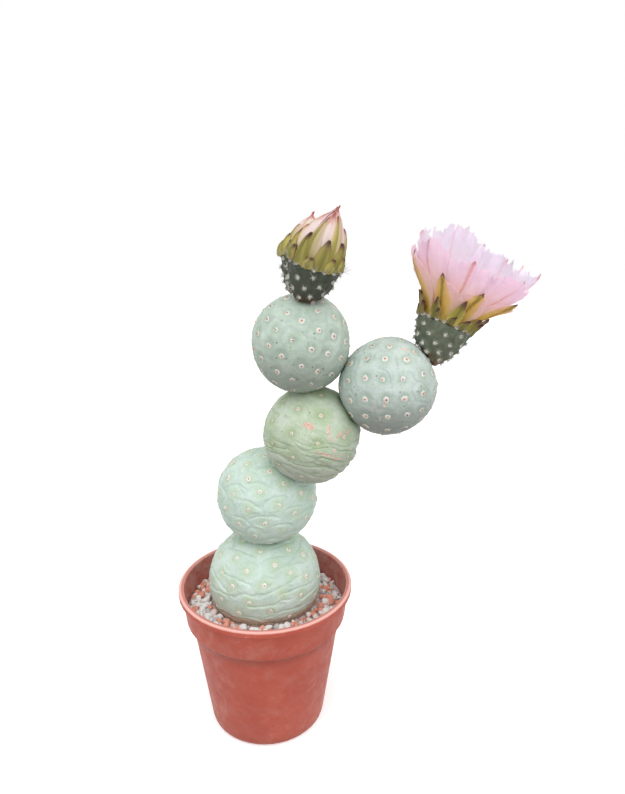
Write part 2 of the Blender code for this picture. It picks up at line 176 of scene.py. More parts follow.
# ---- Meshes ------------------------------------------------------------------------------------
def add_mesh(name, points, faces, material, slot, stands_for=(), fields=None):
    """One piece of the plant or pot. Fields are numbers or colours that its material reads."""
    mesh = bpy.data.meshes.new(name)
    mesh.from_pydata((np.asarray(points) * MM).tolist(), [], faces)
    mesh.polygons.foreach_set("use_smooth", [True] * len(mesh.polygons))
    for key, values in (fields or {}).items():
        values = np.asarray(values, np.float32)
        if values.ndim == 1:
            mesh.attributes.new(key, "FLOAT", "POINT").data.foreach_set("value", values)
        else:
            colours = np.ones((len(values), 4), np.float32)
            colours[:, :3] = values
            layer = mesh.attributes.new(key, "FLOAT_COLOR", "POINT")
            layer.data.foreach_set("color", colours.ravel())
    mesh.update()
    obj = bpy.data.objects.new(name, mesh)
    bpy.context.scene.collection.objects.link(obj)
    mesh.materials.append(material)
    if stands_for:
        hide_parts(*stands_for)
    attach(obj, "root")
    return obj


class Pile:
    """Collects points, faces and colours of many small shapes that make one piece."""

    def __init__(self):
        self.points, self.faces, self.colours, self.count = [], [], [], 0

    def add(self, points, faces, colours):
        self.points.append(points)
        self.faces.extend((np.asarray(part) + self.count).tolist() for part in faces)
        self.colours.append(np.broadcast_to(colours, (len(points), 3)))
        self.count += len(points)

    def build(self, name, material, slot, stands_for=()):
        """Makes the piece. Its material reads the colours as the field 'tint'."""
        faces = [face for part in self.faces for face in part]
        points, fields = np.concatenate(self.points), {"tint": np.concatenate(self.colours)}
        return add_mesh(name, points, faces, material, slot, stands_for, fields)


def ring_walls(index):
    """Four-sided faces between rings of point numbers, each ring a row that closes on itself."""
    after = np.roll(index, -1, axis=-1)
    walls = (index[..., :-1, :], after[..., :-1, :], after[..., 1:, :], index[..., 1:, :])
    return np.stack(walls, -1).reshape(-1, 4)


def strands(paths, radii, sides=3):
    """Closed tubes along paths (strand, step, xyz), with a radius at each step."""
    paths = np.asarray(paths, float)
    count, steps = paths.shape[:2]
    radii = np.broadcast_to(radii, (count, steps))
    along = unit(np.gradient(paths, axis=1))
    side = unit(np.cross(along, np.array((0.31, 0.52, 0.79))))
    other = np.cross(along, side)
    turn = in_turns(sides)
    ring = side[:, :, None] * np.cos(turn)[:, None] + other[:, :, None] * np.sin(turn)[:, None]
    points = (paths[:, :, None] + ring * radii[:, :, None, None]).reshape(-1, 3)
    index = np.arange(count * steps * sides).reshape(count, steps, sides)
    return points, [ring_walls(index), index[:, 0, ::-1], index[:, -1]]


def cube_sphere(cells):
    """Unit directions and four-sided faces of a sphere with even cells."""
    steps = np.tan(np.linspace(-1, 1, cells + 1) * math.pi / 4)
    across, up = np.meshgrid(steps, steps, indexing="ij")
    flat = np.stack((across, up, np.ones_like(across)), -1).reshape(-1, 3)
    index = np.arange((cells + 1) ** 2).reshape(cells + 1, cells + 1)
    quads = np.stack((index[:-1, :-1], index[1:, :-1], index[1:, 1:], index[:-1, 1:]), -1)
    quads = quads.reshape(-1, 4)
    points, faces = [], []
    for first in range(3):
        for sign in (1, -1):
            order = [(first + 1) % 3, (first + 2) % 3, first]
            side = np.empty_like(flat)
            side[:, order] = flat * (1, sign, sign)
            faces.append(quads + len(points) * len(flat))
            points.append(side)
    points = unit(np.concatenate(points))
    _, once, index = np.unique(np.round(points, 6), axis=0, return_index=True, return_inverse=True)
    return points[once], index.reshape(-1)[np.concatenate(faces)]


def mesh_normals(points, faces):
    """Normals of a mesh of four-sided faces, at its points."""
    corners = points[faces]
    cross = np.cross(corners[:, 2] - corners[:, 0], corners[:, 3] - corners[:, 1])
    total = np.zeros_like(points)
    for corner in range(4):
        for axis in range(3):
            total[:, axis] += np.bincount(faces[:, corner], cross[:, axis], len(points))
    return unit(total)


def smoothed(values, faces, rounds):
    """The values at a mesh's points, each round averaged with those beside them."""
    ends = np.concatenate([faces[:, [k, (k + 1) % 4]] for k in range(4)])
    links = np.bincount(ends[:, 0], minlength=len(values)) + 1.0
    for _ in range(rounds):
        values = (values + np.bincount(ends[:, 0], values[ends[:, 1]], len(values))) / links
    return values


# ---- Materials ---------------------------------------------------------------------------------
class Paint:
    """A material being made: short calls for the nodes that its colour, gloss and bump need."""

    def __init__(self, name, roughness=0.6, **settings):
        self.material = bpy.data.materials.new(name)
        self.material.use_nodes = True
        self.tree = self.material.node_tree
        self.shader = self.tree.nodes["Principled BSDF"]
        self.shader.inputs["Roughness"].default_value = roughness
        for key, value in settings.items():
            self.shader.inputs[key.replace("_", " ")].default_value = value

    def set(self, socket, value):
        if isinstance(value, bpy.types.NodeSocket):
            self.tree.links.new(value, socket)
        elif isinstance(value, (tuple, list)) and len(value) == 3 and socket.type == "RGBA":
            socket.default_value = (*value, 1)
        else:
            socket.default_value = value

    def node(self, kind, inputs, **settings):
        made = self.tree.nodes.new(kind)
        for key, value in settings.items():
            setattr(made, key, value)
        for key, value in inputs.items():
            self.set(made.inputs[key], value)
        return made

    def field(self, name):
        return self.node("ShaderNodeAttribute", {}, attribute_name=name).outputs["Fac"]

    def colour_field(self, name):
        return self.node("ShaderNodeAttribute", {}, attribute_name=name).outputs["Color"]

    def place(self):
        return self.node("ShaderNodeTexCoord", {}).outputs["Object"]

    def maths(self, operation, first, second=0.0, clamp=False):
        made = self.node("ShaderNodeMath", {0: first, 1: second}, operation=operation)
        made.use_clamp = clamp
        return made.outputs[0]

    def span(self, value, low, high, to_low=0.0, to_high=1.0, kind="SMOOTHSTEP"):
        inputs = {"Value": value, "From Min": low, "From Max": high}
        inputs.update({"To Min": to_low, "To Max": to_high})
        return self.node("ShaderNodeMapRange", inputs, interpolation_type=kind).outputs[0]

    def mix(self, share, first, second, blend="MIX"):
        made = self.node("ShaderNodeMix", {}, data_type="RGBA", blend_type=blend)
        for index, value in ((0, share), (6, first), (7, second)):
            self.set(made.inputs[index], value)
        return made.outputs[2]

    def product(self, *values):
        """The values multiplied together."""
        total = values[0]
        for value in values[1:]:
            total = self.maths("MULTIPLY", total, value)
        return total

    def shaded(self, colour, shade, red=None):
        """The colour times a grey of that shade, whose red may be kept apart."""
        inputs = {0: shade if red is None else red, 1: shade, 2: shade}
        grey = self.node("ShaderNodeCombineColor", inputs).outputs[0]
        return self.mix(1.0, colour, grey, "MULTIPLY")

    def noise(self, size, detail=3.0, rough=0.55, warp=0.0, place=None):
        """Noise from 0 to 1 with features about that many millimetres across."""
        inputs = {"Scale": 1 / (size * MM), "Detail": detail, "Roughness": rough}
        inputs.update({"Distortion": warp, "Vector": place or self.place()})
        return self.node("ShaderNodeTexNoise", inputs).outputs["Fac"]

    def cells(self, size):
        """Distance to the nearest of points scattered about that many millimetres apart."""
        inputs = {"Scale": 1 / (size * MM), "Vector": self.place()}
        return self.node("ShaderNodeTexVoronoi", inputs).outputs["Distance"]

    def stretched(self, scale):
        inputs = {"Vector": self.place(), "Scale": scale}
        return self.node("ShaderNodeMapping", inputs).outputs[0]

    def bump(self, height, depth, below=None):
        """Adds relief: height from 0 to 1 becomes that many millimetres."""
        inputs = {"Height": height, "Distance": depth * MM, "Strength": 1.0}
        if below is not None:
            inputs["Normal"] = below
        return self.node("ShaderNodeBump", inputs).outputs[0]

    def finish(self, colour, normal=None, roughness=None, through=0.0, whitened=0.0):
        """Connects the shader. 'through' is the share of light that a petal lets pass, and
        'whitened' how much paler than its skin that light is."""
        self.set(self.shader.inputs["Base Color"], colour)
        if normal is not None:
            self.set(self.shader.inputs["Normal"], normal)
        if roughness is not None:
            self.set(self.shader.inputs["Roughness"], roughness)
        if through:
            pale = self.mix(whitened, colour, (1.0, 1.0, 1.0))
            glow = self.node("ShaderNodeBsdfTranslucent", {"Color": pale})
            if normal is not None:
                self.set(glow.inputs["Normal"], normal)
            both = self.node("ShaderNodeMixShader", {0: through})
            self.tree.links.new(self.shader.outputs[0], both.inputs[1])
            self.tree.links.new(glow.outputs[0], both.inputs[2])
            out = self.tree.nodes["Material Output"]
            self.tree.links.new(both.outputs[0], out.inputs["Surface"])
        return self.material


def skin_material(name, look):
    """Waxy skin: bloom over green, yellower round the areoles, painted shade in creases, dimples and under
    most segments, corky scars.
    """
    paint = Paint(name, roughness=0.62, Specular_IOR_Level=0.3)
    broad = paint.noise(14, 3, 0.6, 0.4)
    colour = paint.mix(paint.span(broad, 0.35, 0.68), look["base"], look["bloom"])
    halo = paint.product(paint.field("halo"), paint.span(paint.noise(5, 2), 0.2, 0.6, 0.5))
    colour = paint.mix(halo, colour, look["halo"])
    # towards the underside: painted shade on segments 2 to 5, a paler tone on segment 1
    colour = paint.mix(paint.product(paint.field("under"), look["under_share"]), colour, look["under"])
    mottle = paint.span(paint.noise(1.6, 4, 0.7), 0.3, 0.72)
    colour = paint.mix(mottle, colour, (0.91, 0.94, 0.91), "MULTIPLY")
    powder = paint.span(paint.noise(0.55, 3, 0.7), 0.40, 0.64)
    colour = paint.mix(powder, colour, (0.85, 0.88, 0.85), "MULTIPLY")
    # painted shade: the crease colour darkens the creases, wrinkles and areole dimples
    crease = paint.product(paint.field("crease"), look["crease_shade_share"])
    colour = paint.mix(crease, colour, look["crease"])
    specks = paint.span(paint.cells(2.6), 0.20, 0.10)
    gate = paint.span(paint.noise(6, 2), 0.52, 0.58)
    colour = paint.mix(paint.product(specks, gate, look["specks"]), colour, (0.16, 0.12, 0.10))
    cracks = paint.span(paint.noise(0.7, 3, 0.7), 0.35, 0.65)
    cork = paint.mix(cracks, (0.62, 0.36, 0.28), (0.87, 0.66, 0.56))
    colour = paint.mix(paint.field("scar"), colour, cork)
    soil = paint.product(paint.field("band"), paint.span(paint.noise(1.2, 4, 0.7), 0.25, 0.6, 0.35))
    colour = paint.mix(soil, colour, (0.47, 0.33, 0.25))
    normal = paint.bump(paint.noise(0.34, 3, 0.6), 0.035)
    normal = paint.bump(paint.noise(1.5, 4, 0.6), 0.15, normal)
    gloss = paint.span(mottle, 0, 1, 0.54, 0.70)
    paint.shader.inputs["Subsurface Weight"].default_value = 0.12
    paint.shader.inputs["Subsurface Radius"].default_value = (0.0022, 0.0028, 0.0016)
    paint.shader.inputs["Subsurface Scale"].default_value = 0.6
    return paint.finish(colour, normal, gloss)


def tuft_material(name):
    """Felt, glochids and bristles: each strand brings its own colour."""
    paint = Paint(name, roughness=0.75, Specular_IOR_Level=0.25)
    shade = paint.span(paint.noise(0.5, 2), 0.3, 0.7, 0.82, 1.0)
    colour = paint.shaded(paint.colour_field("tint"), shade)
    return paint.finish(colour, paint.bump(paint.noise(0.15, 2), 0.02))


# ---- Stem segments -----------------------------------------------------------------------------
SEGMENT_CELLS = 128
FACET_ROUNDS = 110  # evens out the flat facets of the frame's solid
FACET_SWELL = 1.004

# How a segment's skin looks: areoles and turn place their spiral. pull, flatten, lines, line_width
# and level_lines shape the creases between them, arch_... the folds that arch over them, and puff,
# cushion, dimple, wrinkle and wave are heights in millimetres. base, bloom, halo, crease and under
# are colours, and ..._share says how strong one is. crease is painted shade laid in the creases,
# wrinkles and areole dimples; under is the colour towards the underside, painted shade on segments
# 2 to 5 and a paler tone on segment 1.
PLAIN_SKIN = {
    "wave": 0.3, "crease_shade_share": 0.6, "specks": 0.0, "scars": (),
}
SEGMENT_LOOKS = {
    "stem_segment_1": {
        "grows_from": None, "areoles": 98, "turn": 0.4, "pull": 0.2, "flatten": 0.5, "lines": 0.3,
        "line_width": 0.5, "level_lines": 0.95, "puff": 0.45, "dimple": 0.1, "wrinkle": 0.1,
        "wave": 0.4, "areole_size": 1.15, "arch_half_width": 9.6, "arch_height": 3.8, "arch_bow": 0.16,
        "arch_bare": 0.2, "cushion": 0.2, "base": (0.56, 0.68, 0.62), "bloom": (0.71, 0.82, 0.78),
        "halo": (0.54, 0.66, 0.44), "crease": (0.42, 0.55, 0.45), "crease_shade_share": 0.5,
        "under": (0.66, 0.76, 0.73), "under_share": 0.5, "seed": 11,
    },
    "stem_segment_2": {
        "grows_from": "stem_segment_1", "areoles": 76, "turn": 2.1, "pull": 0.26, "flatten": 0.78,
        "lines": 0.3, "line_width": 0.48, "level_lines": 0.55, "puff": 0.5, "dimple": 0.1,
        "wrinkle": 0.0, "areole_size": 1.15, "arch_half_width": 6.0, "arch_height": 3.9,
        "arch_bow": 0.6, "arch_bare": 0.26, "cushion": 0.24, "base": (0.58, 0.71, 0.65),
        "bloom": (0.75, 0.86, 0.83), "halo": (0.57, 0.7, 0.48), "crease": (0.42, 0.55, 0.46),
        "crease_shade_share": 0.5, "under": (0.55, 0.64, 0.58), "under_share": 0.6, "seed": 23,
    },
    "stem_segment_3": {
        "grows_from": "stem_segment_2", "areoles": 48, "turn": 0.9, "pull": 0.2, "flatten": 0.6,
        "lines": 0.12, "line_width": 0.6, "level_lines": 1.0, "puff": 0.15, "dimple": 0.25,
        "wrinkle": 1.0, "wave": 0.7, "areole_size": 0.92, "arch_half_width": 5.0, "arch_height": 3.2,
        "arch_bow": 0.3, "arch_bare": 0.75, "cushion": 0.2, "base": (0.5, 0.6, 0.43),
        "bloom": (0.69, 0.76, 0.65), "halo": (0.48, 0.6, 0.33), "crease": (0.33, 0.41, 0.28),
        "under": (0.49, 0.49, 0.44), "under_share": 0.8, "specks": 0.5, "seed": 37,
        # scars: azimuth, height angle, length, width, tilt of the line
        "scars": (
            (-95.0, 26.0, 5.4, 3.2, -20.0), (-70.0, 22.0, 4.2, 1.5, 80.0),
            (-57.0, 14.0, 5.2, 1.4, 16.0), (-76.0, -5.0, 10.0, 1.0, -16.0),
            (-62.0, -13.0, 4.6, 1.3, -35.0), (-45.0, 16.0, 3.0, 1.1, 25.0),
            (-69.0, 12.0, 2.8, 1.1, -60.0), (-55.0, -10.0, 2.2, 0.9, 10.0),
            (-64.0, -3.0, 2.4, 0.9, 70.0), (60.0, 10.0, 6.0, 1.2, 20.0),
            (150.0, -15.0, 5.0, 1.6, -25.0),
        ),
    },
    "stem_segment_4": {
        "grows_from": "stem_segment_3", "areoles": 88, "turn": 1.7, "pull": 0.0, "flatten": 1.0,
        "lines": 0.05, "line_width": 1.1, "level_lines": 0.0, "puff": 0.15, "dimple": 0.45,
        "wrinkle": 0.06, "areole_size": 1.3, "arch_half_width": 3.2, "arch_height": 2.6,
        "arch_bow": 0.5, "arch_bare": 0.75, "cushion": 0.15, "base": (0.58, 0.67, 0.6),
        "bloom": (0.72, 0.81, 0.77), "halo": (0.48, 0.6, 0.46), "crease": (0.34, 0.43, 0.36),
        "under": (0.34, 0.35, 0.31), "under_share": 0.85, "specks": 0.8, "seed": 51,
        "scars": ((75.0, 30.0, 3.0, 0.8, 30.0),),
    },
    "stem_segment_5": {
        "grows_from": "stem_segment_3", "areoles": 82, "turn": 0.3, "pull": 0.05, "flatten": 0.8,
        "lines": 0.16, "line_width": 0.6, "level_lines": 0.6, "puff": 0.2, "dimple": 0.36,
        "wrinkle": 0.12, "areole_size": 1.3, "arch_half_width": 4.0, "arch_height": 2.8,
        "arch_bow": 0.5, "arch_bare": 0.55, "cushion": 0.18, "base": (0.57, 0.64, 0.62),
        "bloom": (0.72, 0.79, 0.78), "halo": (0.48, 0.6, 0.48), "crease": (0.34, 0.43, 0.38),
        "under": (0.31, 0.31, 0.29), "under_share": 0.9, "specks": 0.6, "seed": 67,
        # scars: azimuth, height angle, length, width, tilt of the line
        "scars": (
            (-62.0, 58.0, 4.0, 1.3, -25.0), (-100.0, -8.0, 2.4, 0.9, 80.0),
            (-112.0, -14.0, 2.0, 0.7, 10.0), (-106.0, -26.0, 2.2, 0.8, 60.0),
        ),
    },
}


def spiral_directions(count, axis, turn, seed):
    """Directions spread evenly round an axis in the spiral in which areoles grow."""
    number = np.arange(count)
    level = 1 - (2 * number + 1) / count
    angle = number * GOLDEN_TURN + turn
    side = np.sqrt(1 - level**2)
    local = around(side, angle, level)
    local += 0.03 * np.stack([2 * hashed(number, seed + k) - 1 for k in range(3)], -1)
    return unit(local) @ frame_of(axis)


class Skin:
    """A stem segment's skin: the frame's solid with its areoles, creases, wrinkles and scars."""

    def __init__(self, node):
        self.node, self.look = node, PLAIN_SKIN | SEGMENT_LOOKS[node]
        low, high = node_box(node)
        self.centre = (low + high) / 2
        parent = self.look["grows_from"]
        below = sum(node_box(parent)) / 2 if parent else self.centre - UP
        self.axis = unit(self.centre - below)
        self.rays, self.faces = cube_sphere(SEGMENT_CELLS)
        tree, middle = node_tree(node), Vector(self.centre)
        reach = np.array([tree.ray_cast(middle, Vector(ray))[3] for ray in self.rays])
        self.reach = smoothed(reach, self.faces, FACET_ROUNDS) * FACET_SWELL
        self.base = self.centre + self.rays * self.reach[:, None]

    def nearest(self, direction):
        return int(np.argmax(self.rays @ direction))

    def relief(self):
        """Height over the plain skin and the fields its material reads."""
        look, seed, base = self.look, self.look["seed"], self.base
        spots = base[self.spots]
        warp = np.stack([fractal(base, 7.0, seed + 3 * k, 3) for k in range(3)], -1)
        bent = base + 1.7 * warp
        offset = bent[:, None] - spots[None]
        rise = offset @ self.axis
        away = np.sqrt(look["flatten"] ** 2 * ((offset**2).sum(axis=2) - rise**2) + rise**2)
        plain = np.linalg.norm(base[:, None] - spots[None], axis=2).min(axis=1)
        weighted = away + look["pull"] * (spots @ self.axis)[None] * -1
        order = np.argpartition(weighted, 1, axis=1)[:, :2]
        rows = np.arange(len(base))
        first, second = weighted[rows, order[:, 0]], weighted[rows, order[:, 1]]
        between = np.abs(first - second) / 2
        pair = unit(spots[order[:, 0]] - spots[order[:, 1]])
        levelness = smoothstep((np.abs(pair @ self.axis) - 0.35) / 0.4)
        chance = hashed(order.min(axis=1), order.max(axis=1), seed)
        kept = smoothstep((chance - 0.12) / 0.25)
        lasting = smoothstep((fractal(base, 9.0, seed + 40, 2) + 0.55) / 0.5)
        strength = (1 - look["level_lines"] * (1 - levelness)) * kept * lasting
        line = bell(between, look["line_width"]) * strength
        puff = smoothstep(between / 3.2) * strength
        arch, cushion = self.arches(bent, spots)
        line = np.maximum(line * 0.8, arch)
        dimple = bell(plain, 2.4)
        ring = bell(plain - 3.6, 1.2)
        lower = smoothstep((0.34 - self.rays[:, 2]) / 0.6)
        height_here = base[:, 2] + 0.22 * base[:, 0]
        streaks = np.stack((base[:, 0] / 11, base[:, 1] / 11, height_here / 2.1 + 0.9 * warp[:, 0]), -1)
        ridges = 1 - np.abs(fractal(streaks, 1.0, seed + 60, 2)) * 2.4
        ridges = np.clip(ridges, 0, 1) ** 2 * lower
        height = (
            look["wave"] * fractal(base, 17.0, seed + 80, 2)
            + 0.12 * fractal(base, 3.5, seed + 90, 3)
            - look["lines"] * line
            + look["puff"] * (puff - 0.5)
            + look["cushion"] * cushion
            - look["dimple"] * dimple
            + 0.35 * look["dimple"] * ring
            - look["wrinkle"] * ridges
        )
        scar = np.zeros(len(base))
        for azimuth, lift, length, width, tilt in look["scars"]:
            height_share, scar_here = self.scar(azimuth, lift, length, width, tilt)
            scar = np.maximum(scar, scar_here)
            height = height + height_share
        halo = bell(plain, 3.3) * 0.9
        wrinkled = 0.8 * ridges * (look["wrinkle"] > 0.3)
        # the crease field is where painted shade darkens the skin: creases, wrinkles and areole dimples
        crease = np.clip(line + wrinkled + 0.75 * dimple * (look["dimple"] > 0.2), 0, 1)
        # under is where the underside colour goes: painted shade on segments 2 to 5
        under = smoothstep((0.25 - self.rays[:, 2]) / 1.0)
        return height, {"halo": halo, "crease": crease, "scar": scar, "under": under}

    def arches(self, bent, spots):
        """The folds that arch over the areoles, and the low cushions that swell under them."""
        look = self.look
        line, cushion = np.zeros(len(bent)), np.zeros(len(bent))
        shares = hashed(np.arange(len(spots)), look["seed"] + 200)
        tilts = hashed(np.arange(len(spots)), look["seed"] + 210) - 0.5
        for spot, share, tilt in zip(spots, shares, tilts):
            out = unit(spot - self.centre)
            east = unit(np.cross(self.axis, out))
            east = unit(east + 0.5 * tilt * np.cross(out, east))
            offset = bent - spot
            near = smoothstep((12 + offset @ out) / 4) * ((offset**2).sum(axis=1) < 15**2)
            x, y = offset @ east, offset @ np.cross(out, east)
            half = look["arch_half_width"] * (0.65 + 0.7 * share)
            bow = look["arch_height"] * (1 - look["arch_bow"] * (x / half) ** 2)
            away = y - bow
            ends = smoothstep((half - np.abs(x)) / 2.2)
            shown = near * ends * smoothstep((share - look["arch_bare"]) / 0.3)
            line = np.maximum(line, bell(away, look["line_width"]) * shown)
            swell = smoothstep(-away / 1.2) * smoothstep((away + 4.5) / 4.0)
            cushion = np.maximum(cushion, swell * shown)
        return line, cushion

    def scar(self, azimuth, lift, length, width, tilt):
        """A corky scar: a cracked line or patch at that place, and how far it lies proud."""
        azimuth, lift, tilt = (math.radians(value) for value in (azimuth, lift, tilt))
        level = math.cos(lift)
        ray = np.array((level * math.cos(azimuth), level * math.sin(azimuth), math.sin(lift)))
        spot = self.base[self.nearest(ray)]
        out, east = unit(ray), unit(np.cross(UP, ray))
        north = np.cross(out, east)
        along = math.cos(tilt) * east + math.sin(tilt) * north
        across = np.cross(out, along)
        offset = self.base - spot
        seed = self.look["seed"]
        wobble = fractal(self.base, 3.0, seed + 140, 3)
        far = np.hypot((offset @ along) / length * 2, ((offset @ across) + 1.3 * wobble) / width * 2)
        near = (offset @ out) > -length
        ragged = 0.5 * fractal(self.base, 1.1, seed + 150, 2)
        shape = smoothstep((1.15 - far + ragged) / 0.35) * near
        core = smoothstep((0.5 - far) / 0.4) * near
        rough = 0.10 * fractal(self.base, 0.8, seed + 160, 2)
        return shape * (0.12 + rough) - 0.28 * core, shape

    def build(self):
        """Makes the skin's piece, once its areoles have their places."""
        look = self.look
        rays = spiral_directions(look["areoles"], self.axis, look["turn"], look["seed"])
        self.spots = [self.nearest(ray) for ray in rays]
        height, fields = self.relief()
        self.points = self.base + self.rays * height[:, None]
        fields["band"] = self.soil_band()
        self.normals = mesh_normals(self.points, self.faces)
        number = self.node[-1]
        material = skin_material(f"skin_{number}", look)
        faces = self.faces.tolist()
        add_mesh(f"segment_{number}_skin", self.points, faces, material, "stem_skin", (self.node,), fields)

    def soil_band(self):
        if self.look["grows_from"]:
            return np.zeros(len(self.base))
        line = node_box("grit_top_dressing")[1][2]
        ragged = 1.1 * fractal(self.base, 5.0, 7, 3)
        return smoothstep((line + 2.6 + ragged - self.base[:, 2]) / 1.6)

    def areole_frames(self, hidden_by):
        """Place and normal of each areole that no neighbouring piece covers."""
        for spot in self.spots:
            place, normal = self.points[spot], self.normals[spot]
            near = [tree.find_nearest(Vector(place))[3] for tree in hidden_by]
            if not near or min(near) > 1.0:
                yield place, normal


# ---- Areoles -----------------------------------------------------------------------------------
CREAM = np.array((0.90, 0.84, 0.74))
WHITE = np.array((0.93, 0.92, 0.88))
RUST = np.array((0.62, 0.20, 0.06))
ORANGE = np.array((0.86, 0.40, 0.12))
BROWN = np.array((0.20, 0.10, 0.07))
GREY_BROWN = np.array((0.30, 0.22, 0.18))
FELT_HAIRS = 46
GLOCHIDS = 20


def hairs(pile, random, place, axes, count, ring, length, lean, width, colours, curl=0.4):
    """Fine tapered hairs from a ring round a place, leaning outwards."""
    turn = random.uniform(0, 2 * math.pi, count)
    out = np.cos(turn)[:, None] * axes[0] + np.sin(turn)[:, None] * axes[1]
    root = place + out * (ring[0] + (ring[1] - ring[0]) * random.random(count) ** 0.6)[:, None]
    tilt = np.radians(random.uniform(*lean, count))[:, None]
    reach = random.uniform(*length, count)[:, None]
    away = out * np.sin(tilt) + axes[2] * np.cos(tilt)
    bend = unit(random.normal(size=(count, 3))) * reach * curl
    middle, tip = root + away * reach * 0.5 + bend * 0.25, root + away * reach + bend * 0.5
    paths = np.stack((root - axes[2] * 0.15, middle, tip), 1)
    points, faces = strands(paths, np.array((1.0, 0.8, 0.22)) * width)
    share = random.random(count)[:, None]
    tint = colours[0] * (1 - share) + colours[1] * share
    tint = tint * random.uniform(0.85, 1.08, count)[:, None]
    pile.add(points, faces, np.clip(np.repeat(tint, 9, axis=0), 0, 1))


def felt_cushion(pile, random, place, axes, radius, height, colour):
    """The low lumpy pad in the middle of an areole."""
    rings, sides = 4, 10
    turn = in_turns(sides)
    points = [place + axes[2] * height]
    for ring in range(1, rings + 1):
        share = ring / rings
        rise = height * (1 - share**2) - 0.12 * share
        reach = radius * share * (1 + 0.16 * random.uniform(-1, 1, sides))
        rise = rise + 0.05 * random.uniform(-1, 1, sides)
        points.extend(place + around(reach, turn, rise) @ axes)
    cap = [[0, 1 + k, 1 + (k + 1) % sides] for k in range(sides)]
    walls = []
    for ring in range(rings - 1):
        start = 1 + ring * sides
        for k in range(sides):
            after = (k + 1) % sides
            walls.append([start + k, start + sides + k, start + sides + after, start + after])
    base = [[1 + (rings - 1) * sides + k for k in reversed(range(sides))]]
    pile.add(np.array(points), [np.array(cap), np.array(walls), np.array(base)], colour)


def add_areole(pile, random, place, normal, size, felt, centre, proud):
    """One areole: a felt pad, its hairs and the orange-red tuft of short barbed glochids."""
    axes = frame_of(normal, random.normal(size=3))
    felt_cushion(pile, random, place, axes, 1.25 * size, 0.28 * size, felt[0] * 0.95)
    felt_cushion(pile, random, place + axes[2] * 0.12 * size, axes, 0.48 * size, 0.26 * size, centre[0] * 0.9)
    ring, length = (0.70 * size, 1.20 * size), (0.2 * size * proud, 0.45 * size * proud)
    hairs(pile, random, place, axes, FELT_HAIRS, ring, length, (5, 60), 0.09, felt)
    ring, length = (0.0, 0.36 * size), (0.35 * size * proud, 0.7 * size * proud)
    hairs(pile, random, place, axes, GLOCHIDS, ring, length, (0, 20), 0.08, centre, 0.15)


def add_segment_areoles(skins, tufts):
    for node, skin in skins.items():
        random = np.random.default_rng(skin.look["seed"])
        others = [node_tree(other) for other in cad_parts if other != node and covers(other)]
        pile = Pile()
        young = node in ("stem_segment_4", "stem_segment_5")
        for place, normal in skin.areole_frames(others):
            size = random.uniform(0.78, 1.08) * skin.look["areole_size"]
            felt = (WHITE, WHITE * 0.96) if young else (WHITE, np.array((0.93, 0.82, 0.78)))
            if node == "stem_segment_3":
                felt = (CREAM, np.array((0.66, 0.48, 0.38)))
            centre = (ORANGE, RUST) if random.random() > 0.3 else (RUST, BROWN)
            add_areole(pile, random, place, normal, size, felt, centre, 1.0 if young else 0.6)
        pile.build(f"segment_{node[-1]}_areoles", tufts, "stem_skin")


def covers(node):
    return node.startswith("stem_segment") or node.endswith("_ovary") or node == "grit_top_dressing"


# ---- Ovaries -----------------------------------------------------------------------------------
OVARY_CELLS = 84
OVARY_LOOKS = {
    # node: areoles on its side, areoles round its rim, bristle length, seed, brightness of the skin, below 1
    # a painted shade on the buds
    "flower_ovary": (44, 18, 2.6, 101, 1.0),
    "front_bud_ovary": (34, 16, 5.2, 113, 0.5),
    "back_bud_ovary": (32, 15, 4.2, 127, 0.6),
}


def ovary_material(node, painted_shade_brightness):
    """Dark green skin, browner at its foot, paler on its tubercles, darker as painted shade on the buds."""
    paint = Paint(f"{node}_skin", roughness=0.6, Specular_IOR_Level=0.3)
    broad = paint.span(paint.noise(3.2, 4, 0.65), 0.32, 0.7)
    colour = paint.mix(broad, (0.062, 0.073, 0.047), (0.138, 0.152, 0.105))
    colour = paint.mix(paint.product(paint.field("knob"), 0.55), colour, (0.17, 0.21, 0.15))
    foot = paint.product(paint.field("foot"), paint.span(paint.noise(2.2, 3), 0.2, 0.6, 0.5))
    colour = paint.mix(foot, colour, (0.150, 0.085, 0.045))
    dusty = paint.span(paint.noise(0.8, 4, 0.75), 0.62, 0.80, 0.0, 0.35)
    colour = paint.mix(dusty, colour, (0.36, 0.38, 0.30))
    # painted shade: a bud's ovary gets a darker copy of the same skin
    colour = paint.mix(1.0, colour, (painted_shade_brightness, painted_shade_brightness, painted_shade_brightness), "MULTIPLY")
    normal = paint.bump(paint.noise(0.5, 3, 0.6), 0.05)
    normal = paint.bump(paint.noise(1.8, 3, 0.6), 0.12, normal)
    return paint.finish(colour, normal)


